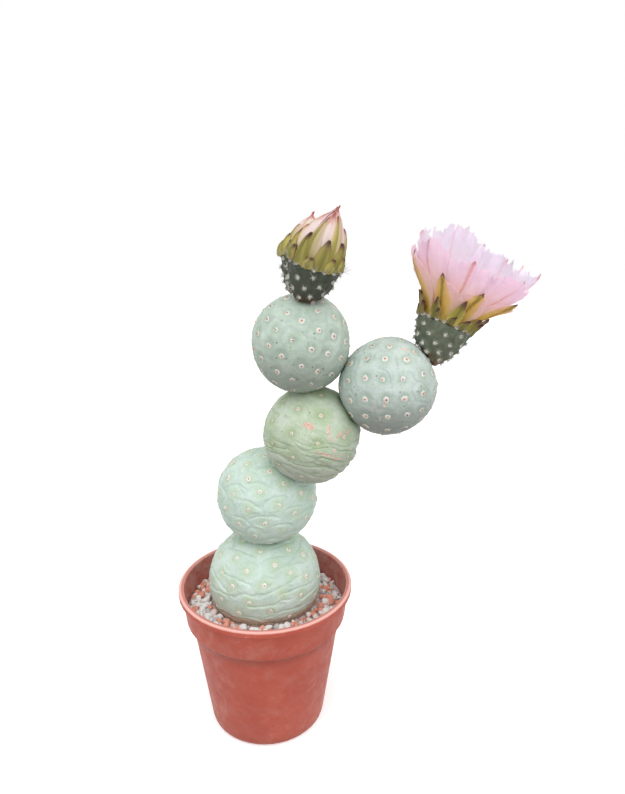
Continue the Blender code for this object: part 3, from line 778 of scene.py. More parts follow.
def add_ovary(node, tufts):
    """An ovary wrapped in low tubercles, each with a white tuft and a few bristles."""
    count, rim_count, bristle, seed, painted_shade_brightness = OVARY_LOOKS[node]
    material = ovary_material(node, painted_shade_brightness)
    random = np.random.default_rng(seed)
    top, axis = flat_top(node)
    depth = ((node_points(node) - top) @ axis).min()
    middle = top + axis * depth * 0.42
    rays, faces = cube_sphere(OVARY_CELLS)
    tree = node_tree(node)
    reach = np.array([tree.ray_cast(Vector(middle), Vector(ray))[3] for ray in rays])
    reach = smoothed(reach, faces, 16)
    base = middle + rays * reach[:, None]
    axes = frame_of(axis)
    local = (base - top) @ axes.T
    height = local[:, 2]
    # areoles in spirals down the side, then a ring at the rim
    share = (np.arange(count) + 0.5) / count
    level = depth * (0.10 + 0.80 * share**0.9)
    angle = np.arange(count) * GOLDEN_TURN + seed
    rim_step = 2 * math.pi / rim_count
    rim_angle = (np.arange(rim_count) + random.uniform(-0.25, 0.25, rim_count)) * rim_step
    level = np.concatenate((level, np.full(rim_count, depth * 0.02)))
    angle = np.concatenate((angle, rim_angle))
    turn, radius = np.arctan2(local[:, 1], local[:, 0]), off_axis(local)
    spots = []
    for one_level, one_angle in zip(level, angle):
        off = np.abs(wrapped(turn - one_angle)) * radius
        inward = (radius < 2.5) * 50
        spots.append(int(np.argmin(off**2 + (height - one_level) ** 2 + inward)))
    places = base[spots]
    offset = base[:, None] - places[None]
    down = offset @ axis
    flat = np.linalg.norm(offset - down[..., None] * axis, axis=2)
    # a tubercle runs further down than up
    stretch = np.where(down < 0, 0.62, 1.25)
    knob = np.exp(-((flat / 1.7) ** 2 + (down * stretch / 1.9) ** 2)).max(axis=1)
    rise = 0.85 * knob * smoothstep(radius / 4.0)
    rise = rise + 0.25 * fractal(base, 5.0, seed, 2) + 0.08 * fractal(base, 1.6, seed + 9, 2)
    skin = base + rays * rise[:, None]
    normals = mesh_normals(skin, faces)
    foot = smoothstep((height / depth - 0.62) / 0.3)
    fields = {"knob": knob, "foot": foot}
    add_mesh(f"{node}_skin", skin, faces.tolist(), material, "ovary_skin", (node,), fields)
    pile = Pile()
    for number, spot in enumerate(spots):
        place, normal = skin[spot], normals[spot]
        local_axes = frame_of(unit(normal + 0.35 * axis), axis)
        size = random.uniform(0.75, 1.0)
        if (place - top) @ axis < depth * 0.93:
            continue
        felt_cushion(pile, random, place, local_axes, 0.8 * size, 0.4 * size, WHITE * 0.86)
        tuft = (pile, random, place, local_axes)
        hairs(*tuft, 34, (0.2 * size, 0.8 * size), (0.5, 1.15), (8, 62), 0.075, (WHITE, CREAM))
        hairs(*tuft, 4, (0.0, 0.3), (0.5, 0.9), (0, 30), 0.07, (BROWN, RUST), 0.1)
        if number >= count:
            length, colours = (bristle * 0.5, bristle), (WHITE, GREY_BROWN)
            hairs(*tuft, 9, (0.0, 0.5), length, (5, 55), 0.068, colours, 0.25)
        else:
            length = (bristle * 0.3, bristle * 0.6)
            hairs(*tuft, 3, (0.0, 0.4), length, (10, 55), 0.05, (WHITE, CREAM), 0.25)
    pile.build(f"{node}_tufts", tufts, "ovary_skin")


# ---- Petals and scales -------------------------------------------------------------------------
class Whorl:
    """Where the frame has the tepals of one ring: their turns, heights and radius at each height."""

    def __init__(self, names, centre, axes):
        self.names, self.centre, self.axes = names, centre, axes
        self.turns, levels, radii = [], [], []
        self.spread = 0.0
        for name in names:
            local = (node_points(name) - centre) @ axes.T
            mean = unit(local[:, :2]).sum(axis=0)
            turn = math.atan2(mean[1], mean[0])
            angles = wrapped(np.arctan2(local[:, 1], local[:, 0]) - turn)
            wide = off_axis(local) > 2.0
            self.spread = max(self.spread, 2 * float(np.abs(angles[wide]).max()))
            self.turns.append(turn)
            levels.append(local[:, 2])
            radii.append(off_axis(local))
        levels, radii = np.concatenate(levels), np.concatenate(radii)
        self.foot, self.tip = float(levels.min()), float(levels.max())
        steps = np.linspace(self.foot, self.tip, 9)
        bins = np.clip(np.digitize(levels, steps) - 1, 0, 7)
        used = [k for k in range(8) if (bins == k).any()]
        self.levels = np.array([levels[bins == k].mean() for k in used])
        self.radii = np.array([radii[bins == k].mean() for k in used])

    def radius(self, level):
        fit = np.polyfit(self.levels, self.radii, 3)
        level = np.clip(level, self.levels[0] - 1, self.levels[-1] + 1)
        return np.polyval(fit, level)

    def world(self, local):
        return self.centre + local.reshape(-1, 3) @ self.axes


def shell(grid, thickness):
    """A closed sheet of that thickness round a grid of points (row, column, xyz)."""
    rows, columns = grid.shape[:2]
    index = np.arange(rows * columns).reshape(rows, columns)
    quads = np.stack((index[:-1, :-1], index[:-1, 1:], index[1:, 1:], index[1:, :-1]), -1)
    quads = quads.reshape(-1, 4)
    flat = grid.reshape(-1, 3)
    normals = mesh_normals(flat, quads)
    half = np.broadcast_to(thickness, (rows, columns)).reshape(-1, 1) / 2
    points = np.concatenate((flat + normals * half, flat - normals * half))
    under = quads[:, ::-1] + rows * columns
    edge = np.concatenate((index[0, :-1], index[:-1, -1], index[-1, :0:-1], index[:0:-1, 0]))
    after = np.roll(edge, -1)
    rim = np.stack((after, edge, edge + rows * columns, after + rows * columns), -1)
    return points, np.concatenate((quads, under, rim)).tolist()


def blade(whorl, turn, look, random):
    """One tepal's grid, its fields and thickness. Its upper edge may be frayed or pointed."""
    rows, columns = look["rows"], look["columns"]
    along = np.linspace(0, 1, rows)[:, None] * np.ones(columns)
    across = np.linspace(-1, 1, columns)[None] * np.ones((rows, 1))
    line = across[0]
    phase = random.uniform(0, 50)
    edge_points = np.stack((line * 3.1 + phase, np.zeros(columns), np.full(columns, phase)), -1)
    frayed = look["fray"] * fractal(edge_points, 0.9, 5, 4)
    teeth = look["teeth"] * (np.abs(noise(edge_points * 4.3, 1.0, 9)) - 0.4)
    point = look["point"] * bell(line, look["point_width"])
    top = 1 - look["round"] * np.abs(line) ** look["round_power"] + frayed + teeth + point
    width = look["foot_width"] + (1 - look["foot_width"]) * smoothstep(along / look["widest"])
    if look["taper"]:
        width = width * np.maximum(0.03, 1 - along ** look["taper"]) ** look["taper_power"]
    length = (whorl.tip - whorl.foot) * look["length"] * random.uniform(*look["length_spread"])
    level = whorl.foot + length * along * top[None]
    spread = whorl.spread * look["spread"]
    angle = turn + across * width * spread / 2
    angle = angle + random.uniform(-0.04, 0.04) + look["twist"] * along**2
    rise = (level - whorl.foot) / max(whorl.tip - whorl.foot, 1e-6)
    radius = whorl.radius(level) + look["stand_off"]
    radius = radius + look["lap"] * across * smoothstep(rise * 3)
    radius = radius - look["cup"] * (across**2 - 0.3) * smoothstep(rise * 2)
    fold = bell(across, 0.10)
    radius = radius + look["keel"] * fold * smoothstep(along * 5) * (1 - 0.5 * along)
    waves = np.sin(across * look["waves"] + phase) + 0.6 * np.sin(across * look["waves"] * 1.7 + 2 * phase)
    radius = radius + look["ruffle"] * waves * along**3
    flutes = np.cos(across * look["flutes"] + 0.6 * np.sin(along * 5 + phase))
    radius = radius + look["flute_depth"] * flutes * smoothstep(along * 3)
    radius = radius + look["flare"] * np.clip(along - 0.72, 0, 1) ** 2 * 12
    shake = np.stack((across * 2.2, along * 2.6, np.full_like(across, phase)), -1).reshape(-1, 3)
    radius = radius + look["unrest"] * fractal(shake, 1.0, 17, 3).reshape(rows, columns) * along
    tip_shake = look["tip_unrest"] * fractal(shake * 2.3, 1.0, 27, 3).reshape(rows, columns) * along**4
    radius = np.maximum(radius + tip_shake, 0.15)
    grid = around(radius, angle, level)
    thickness = look["thickness"] * (1 + 1.3 * fold * (1 - along)) * (1 - 0.55 * np.abs(across) ** 3)
    thickness = thickness * (1 - 0.5 * along**6)
    fields = {"along": along, "across": across, "lot": np.full_like(along, random.random())}
    return grid, fields, thickness


# How a tepal is shaped. thickness, stand_off, lap, cup, keel, ruffle, flute_depth, flare and
# ..unrest are millimetres: how far it stands off the frame's tepal, laps its neighbour, curls,
# folds along its middle and ripples. The rest are shares of its length, or of its half width.
PLAIN_BLADE = {
    "rows": 34, "columns": 29, "fray": 0.0, "teeth": 0.0, "point": 0.0, "point_width": 0.1,
    "round": 0.2, "round_power": 2.4, "foot_width": 0.62, "widest": 0.7, "taper": 0.0,
    "taper_power": 0.5, "length": 1.0, "length_spread": (0.97, 1.03), "spread": 1.0, "twist": 0.0,
    "stand_off": 0.0, "lap": 0.55, "cup": 0.8, "keel": 0.15, "waves": 5.0, "ruffle": 0.0,
    "flutes": 30.0, "flute_depth": 0.05, "flare": 0.0, "unrest": 0.4, "tip_unrest": 0.0,
    "thickness": 0.42,
}
BLADES = {
    "flower_scale": {
        "rows": 26, "columns": 17, "taper": 2.0, "taper_power": 1.25, "foot_width": 0.85, "widest": 0.4,
        "round": 0.0, "thickness": 1.0, "cup": 0.5, "keel": 0.35, "length": 1.15,
        "length_spread": (0.72, 1.15), "spread": 1.15, "stand_off": 0.35, "flutes": 12.0,
        "flute_depth": 0.03, "unrest": 0.6, "flare": 0.07, "twist": 0.05,
    },
    "flower_bract": {
        "rows": 22, "columns": 15, "taper": 2.0, "taper_power": 1.1, "foot_width": 0.9, "widest": 0.4,
        "round": 0.0, "thickness": 1.1, "cup": 0.6, "keel": 0.4, "length": 0.62,
        "length_spread": (0.6, 1.3), "spread": 0.62, "stand_off": 1.15, "flutes": 12.0,
        "flute_depth": 0.03, "unrest": 0.5, "flare": 0.12, "twist": 0.12,
    },
    "flower_outer_tepal": {
        "rows": 44, "columns": 45, "round": 0.3, "round_power": 1.7, "foot_width": 0.62, "widest": 0.75,
        "fray": 0.07, "teeth": 0.04, "point": 0.12, "point_width": 0.06, "length": 0.98,
        "length_spread": (0.72, 1.12), "spread": 1.45, "thickness": 0.35, "cup": 1.1, "keel": 0.4,
        "ruffle": 0.7, "unrest": 1.2, "flare": 0.08, "flute_depth": 0.06, "tip_unrest": 1.4, "lap": 0.8,
    },
    "flower_middle_tepal": {
        "rows": 64, "columns": 67, "round": 0.14, "round_power": 2.4, "fray": 0.1, "teeth": 0.07,
        "point": 0.06, "point_width": 0.05, "length": 1.0, "length_spread": (0.86, 1.06),
        "spread": 1.12, "thickness": 0.28, "cup": 1.2, "keel": 0.3, "ruffle": 0.9, "waves": 6.5,
        "unrest": 1.1, "tip_unrest": 2.4, "flare": 0.2, "foot_width": 0.6, "widest": 0.8,
    },
    "flower_inner_tepal": {
        "rows": 72, "columns": 83, "round": 0.15, "round_power": 2.4, "fray": 0.16, "teeth": 0.12,
        "point": 0.06, "point_width": 0.045, "length": 1.0, "length_spread": (0.86, 1.06),
        "spread": 1.1, "thickness": 0.22, "cup": 0.9, "keel": 0.2, "ruffle": 1.3, "waves": 8.0,
        "unrest": 1.1, "tip_unrest": 3.4, "flare": 0.22, "foot_width": 0.55, "widest": 0.85,
    },
}


def tepal_material(name, look):
    """Petal tissue: colour runs from foot to tip and from midrib to edge, with fine veins."""
    paint = Paint(name, roughness=0.52, Specular_IOR_Level=0.3)
    along, across = paint.field("along"), paint.field("across")
    side = paint.maths("ABSOLUTE", across)
    patch = paint.noise(3.0, 3, 0.6)
    drift = paint.maths("ADD", along, paint.span(patch, 0.2, 0.8, -0.08, 0.08))
    body = paint.mix(paint.span(drift, look["turns"][0], look["turns"][1]), look["foot"], look["body"])
    body = paint.mix(paint.span(drift, look["turns"][2], look["turns"][3]), body, look["tip"])
    edge = paint.product(
        paint.span(side, look["edge_from"], 0.98),
        look["edge_share"],
        paint.span(along, 0.15, 0.6, look["edge_at_foot"], 1.0),
    )
    body = paint.mix(edge, body, look["edge"])
    narrow = paint.span(along, 0.0, 1.0, *look["rib_width"], "LINEAR")
    wavy = paint.maths("ADD", side, paint.span(paint.noise(0.8, 3), 0.2, 0.8, -0.03, 0.03))
    rib = paint.maths("SUBTRACT", 1.0, paint.maths("DIVIDE", wavy, narrow), clamp=True)
    rib = paint.product(
        paint.maths("POWER", rib, look["rib_edge"]),
        paint.span(along, look["rib_from"], look["rib_from"] + 0.15),
        paint.span(along, look["rib_to"], look["rib_to"] + 0.08, 1.0, 0.0),
        look["rib_share"],
    )
    body = paint.mix(rib, body, look["rib"])
    midline = paint.product(paint.span(wavy, 0.10, 0.02), paint.span(along, 0.96, 0.88), look["line_share"])
    body = paint.mix(midline, body, look["line"])
    streaks = {0: paint.product(across, 15.0), 1: paint.product(along, 1.3), 2: paint.field("lot")}
    place = paint.node("ShaderNodeCombineXYZ", streaks).outputs[0]
    vein_inputs = {"Vector": place, "Scale": 2.0, "Detail": 3.0}
    veins = paint.node("ShaderNodeTexNoise", vein_inputs).outputs["Fac"]
    body = paint.shaded(body, paint.span(veins, 0.3, 0.7, look["vein_shade"], 1.0), red=1.0)
    mark_side = paint.span(side, look["mark_width"], look["mark_width"] * 0.35)
    mark = paint.product(paint.span(along, look["mark_from"], 0.97), mark_side)
    body = paint.mix(mark, body, look["mark"])
    body = paint.shaded(body, paint.span(paint.field("lot"), 0.0, 1.0, 1.0 - look["uneven"], 1.0))
    normal = paint.bump(veins, 0.12)
    normal = paint.bump(paint.noise(0.4, 3, 0.6), 0.03, normal)
    paint.shader.inputs["Sheen Weight"].default_value = 0.12
    return paint.finish(body, normal, through=look["through"], whitened=look["whitened"])


# How a tepal is coloured: from foot over body to tip at the heights in turns. The rib is the broad
# stripe along its middle, the line the thin one on that, and the mark its dark point. uneven is how
# much darker one tepal may be than another.
PLAIN_TISSUE = {
    "edge_at_foot": 0.4, "rib_edge": 0.8, "uneven": 0.28, "whitened": 0.55,
}
TEPAL_COLOURS = {
    "scale": {
        "foot": (0.74, 0.66, 0.16), "body": (0.42, 0.39, 0.06), "tip": (0.3, 0.2, 0.08),
        "turns": (0.0, 0.45, 0.5, 0.85), "edge": (0.74, 0.62, 0.24), "edge_from": 0.5,
        "edge_share": 0.6, "rib": (0.24, 0.25, 0.05), "rib_width": (0.5, 0.3), "rib_from": 0.0,
        "rib_to": 0.95, "rib_share": 0.55, "vein_shade": 0.8, "mark": (0.085, 0.025, 0.028),
        "mark_from": 0.58, "mark_width": 1.3, "line": (0.2, 0.19, 0.04), "line_share": 0.6,
        "through": 0.12,
    },
    "bract": {
        "foot": (0.3, 0.29, 0.07), "body": (0.3, 0.28, 0.06), "tip": (0.2, 0.11, 0.06),
        "turns": (0.0, 0.4, 0.5, 0.8), "edge": (0.32, 0.16, 0.1), "edge_from": 0.6, "edge_share": 0.7,
        "edge_at_foot": 0.6, "rib": (0.17, 0.18, 0.05), "rib_width": (0.5, 0.3), "rib_from": 0.0,
        "rib_to": 0.9, "rib_share": 0.6, "vein_shade": 0.8, "mark": (0.085, 0.025, 0.028),
        "mark_from": 0.5, "mark_width": 1.3, "line": (0.15, 0.14, 0.04), "line_share": 0.5,
        "through": 0.06,
    },
    "outer_tepal": {
        "foot": (0.94, 0.84, 0.26), "body": (1.0, 0.88, 0.6), "tip": (0.99, 0.82, 0.84),
        "turns": (0.05, 0.6, 0.55, 0.9), "edge": (1.0, 0.87, 0.84), "edge_from": 0.3, "edge_share": 0.9,
        "edge_at_foot": 0.0, "rib": (0.86, 0.7, 0.09), "rib_width": (1.15, 0.15), "rib_edge": 0.45,
        "rib_from": -0.2, "rib_to": 0.99, "rib_share": 0.95, "vein_shade": 0.86,
        "mark": (0.2, 0.08, 0.05), "mark_from": 0.92, "mark_width": 0.1, "line": (0.36, 0.29, 0.03),
        "line_share": 0.85, "uneven": 0.0, "through": 0.56, "whitened": 0.35,
    },
    "middle_tepal": {
        "foot": (1.0, 0.86, 0.46), "body": (1.0, 0.83, 0.8), "tip": (0.99, 0.82, 0.93),
        "turns": (0.1, 0.6, 0.45, 0.95), "edge": (1.0, 0.91, 0.99), "edge_from": 0.4, "edge_share": 0.6,
        "rib": (0.8, 0.34, 0.26), "rib_width": (0.14, 0.07), "rib_edge": 0.9, "rib_from": 0.1,
        "rib_to": 1.1, "rib_share": 0.85, "vein_shade": 0.93, "mark": (0.62, 0.22, 0.2),
        "mark_from": 0.94, "mark_width": 0.08, "line": (0.78, 0.32, 0.26), "line_share": 0.0,
        "uneven": 0.0, "through": 0.74,
    },
    "inner_tepal": {
        "foot": (0.97, 0.88, 0.72), "body": (1.0, 0.89, 0.97), "tip": (0.94, 0.88, 1.0),
        "turns": (0.0, 0.35, 0.45, 0.95), "edge": (0.98, 0.93, 1.0), "edge_from": 0.3,
        "edge_share": 0.7, "rib": (0.92, 0.56, 0.62), "rib_width": (0.11, 0.07), "rib_edge": 0.9,
        "rib_from": 0.15, "rib_to": 1.1, "rib_share": 0.7, "vein_shade": 0.95,
        "mark": (0.88, 0.48, 0.6), "mark_from": 0.95, "mark_width": 0.08, "line": (0.86, 0.5, 0.56),
        "line_share": 0.0, "uneven": 0.0, "through": 0.8,
    },
    "bud_scale": {
        "foot": (0.58, 0.56, 0.14), "body": (0.56, 0.53, 0.14), "tip": (0.46, 0.34, 0.12),
        "turns": (0.0, 0.4, 0.55, 0.9), "edge": (0.25, 0.12, 0.06), "edge_from": 0.66,
        "edge_share": 0.85, "edge_at_foot": 0.75, "rib": (0.28, 0.29, 0.05), "rib_width": (0.42, 0.22),
        "rib_from": 0.05, "rib_to": 0.9, "rib_share": 0.6, "vein_shade": 0.82,
        "mark": (0.1, 0.03, 0.03), "mark_from": 0.74, "mark_width": 1.0, "line": (0.28, 0.27, 0.05),
        "line_share": 0.5, "through": 0.1,
    },
    "bud_tepal": {
        "foot": (0.6, 0.57, 0.18), "body": (0.76, 0.68, 0.34), "tip": (0.9, 0.64, 0.48),
        "turns": (0.0, 0.5, 0.6, 0.95), "edge": (0.95, 0.82, 0.68), "edge_from": 0.3, "edge_share": 0.9,
        "rib": (0.4, 0.38, 0.06), "rib_width": (0.46, 0.18), "rib_edge": 0.7, "rib_from": -0.2,
        "rib_to": 0.92, "rib_share": 0.85, "vein_shade": 0.86, "mark": (0.36, 0.1, 0.07),
        "mark_from": 0.84, "mark_width": 0.7, "line": (0.34, 0.32, 0.05), "line_share": 0.5,
        "through": 0.16,
    },
    "bud_inner": {
        "foot": (0.8, 0.72, 0.44), "body": (0.95, 0.82, 0.76), "tip": (0.76, 0.26, 0.2),
        "turns": (0.0, 0.5, 0.74, 0.93), "edge": (0.97, 0.86, 0.88), "edge_from": 0.35,
        "edge_share": 0.75, "rib": (0.62, 0.54, 0.2), "rib_width": (0.34, 0.16), "rib_from": 0.0,
        "rib_to": 0.8, "rib_share": 0.7, "vein_shade": 0.9, "mark": (0.5, 0.11, 0.09),
        "mark_from": 0.88, "mark_width": 0.9, "line": (0.6, 0.3, 0.2), "line_share": 0.3, "uneven": 0.0,
        "through": 0.22,
    },
}


def add_blade(name, whorl, turn, look, material, slot, random, stands_for=(), bend=None):
    """Makes one tepal or scale on its whorl. A bud bends it with its tip."""
    grid, fields, thickness = blade(whorl, turn, look, random)
    if bend is not None:
        grid = bend(grid)
    points, faces = shell(grid, thickness)
    fields = {key: np.tile(values.reshape(-1), 2) for key, values in fields.items()}
    return add_mesh(name, whorl.world(points), faces, material, slot, stands_for, fields)


FLOWER_BRACTS = 11


def add_flower(paints):
    """The open flower's scales, three rings of tepals and bracts. Gives the innermost ring."""
    top, axis = flat_top("flower_ovary")
    axes = frame_of(axis)
    for kind, seed in (("scale", 5), ("outer_tepal", 6), ("middle_tepal", 7), ("inner_tepal", 8)):
        random = np.random.default_rng(seed)
        whorl = Whorl(nodes_named(f"flower_{kind}_"), top, axes)
        look = PLAIN_BLADE | BLADES[f"flower_{kind}"]
        for node, turn in zip(whorl.names, whorl.turns):
            add_blade(f"{node}_petal", whorl, turn, look, paints[kind], kind, random, (node,))
    random = np.random.default_rng(17)
    whorl = Whorl(nodes_named("flower_scale_"), top, axes)
    look = PLAIN_BLADE | BLADES["flower_bract"]
    for number in range(FLOWER_BRACTS):
        turn = (number + random.uniform(-0.25, 0.25)) * 2 * math.pi / FLOWER_BRACTS
        add_blade(f"flower_bract_{number + 1}", whorl, turn, look, paints["bract"], "scale", random)
    return Whorl(nodes_named("flower_inner_tepal_"), top, axes)


STAMENS = 130
FILAMENT_RADIUS = 0.16
FILAMENT_STEPS, FILAMENT_SIDES = 7, 5
FILAMENT_FOOT, FILAMENT_TOP = np.array((0.93, 0.62, 0.52)), np.array((0.96, 0.86, 0.66))
ANTHER_LENGTH = 1.5
ANTHER_RADII = np.array((0.14, 0.36, 0.42, 0.42, 0.34, 0.12))
ANTHER_SIDES = 8
ANTHER_COLOUR = np.array((0.90, 0.74, 0.36))
STYLE_STEPS, STYLE_SIDES = 9, 14
STYLE_COLOUR = (0.92, 0.78, 0.60)
STIGMA_LOBES = 8
STIGMA_COLOUR = (0.62, 0.68, 0.34)
STIGMA_DEPTH = 3.2  # how far the lobes begin under the style's top


def add_stamens(ring):
    """Filaments standing in the throat, curved in to their anthers."""
    random = np.random.default_rng(31)
    low_to_high = (node_points("flower_stamens") - ring.centre) @ ring.axes.T
    foot, crown = low_to_high[:, 2].min(), low_to_high[:, 2].max()
    room = off_axis(low_to_high).max()
    turn = np.arange(STAMENS) * GOLDEN_TURN
    share = np.sqrt((np.arange(STAMENS) + 0.5) / STAMENS)
    steps = np.linspace(0, 1, FILAMENT_STEPS)
    top = crown * random.uniform(0.72, 1.06, STAMENS)
    reach = room * (0.30 + 0.66 * share)
    root = 2.4 + 2.6 * share
    radius = root[:, None] + (reach - root)[:, None] * np.sin(steps * math.pi * 0.5)[None] ** 1.4
    inward = random.uniform(0.2, 1.2, STAMENS)[:, None]
    radius = radius - 1.5 * smoothstep(steps[None] * 2 - 1) * inward
    level = foot + (top - foot)[:, None] * steps[None]
    angle = turn[:, None] + random.uniform(-0.25, 0.25, STAMENS)[:, None] * steps[None]
    paths = ring.centre + around(radius, angle, level) @ ring.axes
    pile = Pile()
    radii = FILAMENT_RADIUS * np.linspace(1.1, 0.75, FILAMENT_STEPS)
    points, faces = strands(paths, radii, FILAMENT_SIDES)
    blush = np.repeat(np.tile(steps, STAMENS), FILAMENT_SIDES)[:, None]
    pile.add(points, faces, FILAMENT_FOOT * (1 - blush) + FILAMENT_TOP * blush)
    lie = unit(random.normal(size=(STAMENS, 3)) + ring.axes[2] * 0.4)
    span = np.linspace(-0.5, 0.5, len(ANTHER_RADII))
    bodies = paths[:, -1][:, None] + lie[:, None] * (span * ANTHER_LENGTH)[None, :, None]
    points, faces = strands(bodies, ANTHER_RADII, ANTHER_SIDES)
    tint = ANTHER_COLOUR * random.uniform(0.85, 1.08, STAMENS)[:, None]
    pile.add(points, faces, np.clip(np.repeat(tint, ANTHER_SIDES * len(ANTHER_RADII), axis=0), 0, 1))
    pile.build("flower_stamen_bunch", tuft_material("stamen_tissue"), "stamen", ("flower_stamens",))
    return random


def add_style(ring, random):
    """The swaying style and its open, lobed stigma."""
    style = (node_points("flower_style") - ring.centre) @ ring.axes.T
    foot, crown = style[:, 2].min(), style[:, 2].max()
    steps = np.linspace(0, 1, STYLE_STEPS)
    sway = 0.35 * np.sin(steps * math.pi)
    stalk = np.stack((sway, -0.6 * sway, foot + (crown - STIGMA_DEPTH - foot) * steps), -1)
    pile = Pile()
    points, faces = strands(
        (ring.centre + stalk @ ring.axes)[None], np.linspace(1.25, 0.95, STYLE_STEPS), STYLE_SIDES
    )
    pile.add(points, faces, STYLE_COLOUR)
    for lobe in range(STIGMA_LOBES):
        turn = lobe * 2 * math.pi / STIGMA_LOBES + random.uniform(-0.12, 0.12)
        bend = np.linspace(0, 1, 8)
        radius = 0.35 + 1.9 * bend**1.5
        level = crown - STIGMA_DEPTH - 0.2 + 3.2 * np.sin(bend * math.pi * 0.55)
        local = around(radius, turn, level)
        width = 0.52 * np.sqrt(np.maximum(0.05, 1 - (bend - 0.45) ** 2 * 2.6))
        points, faces = strands((ring.centre + local @ ring.axes)[None], width, 8)
        pile.add(points, faces, STIGMA_COLOUR)
    pile.build("flower_style_and_stigma", tuft_material("style_tissue"), "style", ("flower_style",))


# ---- Buds --------------------------------------------------------------------------------------
BUD_LOOKS = {
    # number of short scales, of inner tepals, bend of the tip in mm (along X and Y), seed
    "front_bud": (8, 5, (3.4, 0.0), 41),
    "back_bud": (7, 5, (1.4, 0.6), 43),
}
BUD_SLIMMING = 0.24  # share of its radius that the bud loses from its foot to its tip
BUD_BLADES = {
    "bract": {
        "rows": 26, "columns": 17, "taper": 1.9, "taper_power": 0.85, "foot_width": 0.9, "widest": 0.4,
        "round": 0.0, "thickness": 1.5, "cup": 1.0, "keel": 0.4, "spread": 0.7, "stand_off": 0.9,
        "lap": 0.2, "flutes": 12.0, "flute_depth": 0.04, "unrest": 0.5, "length_spread": (0.6, 1.2),
        "twist": 0.12, "flare": 0.1,
    },
    "scale": {
        "rows": 30, "columns": 19, "taper": 2.2, "taper_power": 0.9, "foot_width": 0.9, "widest": 0.35,
        "round": 0.0, "thickness": 1.5, "cup": 1.1, "keel": 0.35, "spread": 0.98, "stand_off": 0.25,
        "lap": 0.2, "flutes": 12.0, "flute_depth": 0.04, "unrest": 0.5, "length_spread": (0.66, 1.22),
        "twist": 0.1, "flare": 0.05,
    },
    "tepal": {
        "rows": 40, "columns": 23, "taper": 2.6, "taper_power": 0.85, "foot_width": 0.85, "widest": 0.4,
        "round": 0.0, "thickness": 1.2, "cup": 1.1, "keel": 0.45, "spread": 1.05, "stand_off": 0.0,
        "lap": 0.6, "flutes": 14.0, "flute_depth": 0.06, "unrest": 0.7, "length_spread": (0.72, 1.12),
        "twist": 0.12,
    },
    "inner": {
        "rows": 46, "columns": 25, "taper": 4.5, "taper_power": 0.7, "foot_width": 0.9, "widest": 0.4,
        "round": 0.0, "thickness": 0.7, "cup": 0.8, "keel": 0.45, "spread": 1.1, "stand_off": 0.0,
        "lap": 0.7, "flutes": 16.0, "flute_depth": 0.1, "unrest": 0.5, "length_spread": (0.86, 1.0),
        "twist": 0.35, "fray": 0.02,
    },
}


class BudRing(Whorl):
    """Tepals pressed on a closed bud: their radius follows the bud's outline, less an inset."""

    def __init__(self, names, centre, axes, core, tip, inset, spread):
        super().__init__(names, centre, axes)
        self.core, self.inset, self.tip, self.spread = core, inset, tip, spread

    def radius(self, level):
        share = np.clip((level - self.core.foot) / (self.core.tip - self.core.foot), 0, 1)
        inset = self.inset * (1 - 0.75 * smoothstep(share))
        return np.maximum(np.interp(level, self.core.table[0], self.core.table[1]) - inset, 0.05)


def bud_outline(bud, centre, axes):
    """Heights and radii of the closed bud's outside, from the frame's core and tepals."""
    core = Whorl([f"{bud}_core"], centre, axes)
    local = [(node_points(name) - centre) @ axes.T for name in nodes_named(f"{bud}_tepal_")]
    local.append((node_points(f"{bud}_core") - centre) @ axes.T)
    local = np.concatenate(local)
    radius = off_axis(local)
    levels = np.linspace(0, core.tip, 12)
    reach = [radius[np.abs(local[:, 2] - level) < 1.6].max() for level in levels[:-1]]
    fit = np.polyfit(levels[:-1], reach, 4)
    table = np.linspace(0, core.tip, 60)
    radii = np.maximum(np.polyval(fit, table), 0)
    close = np.sqrt(np.clip((core.tip - table) / 5.0, 0, 1))
    radii = radii * (1 - BUD_SLIMMING * smoothstep(table / core.tip))
    core.table = (table, radii * np.where(table > core.tip - 5.0, 0.35 + 0.65 * close, 1.0))
    core.table[1][-1] = 0.9
    core.foot = 0.0
    return core


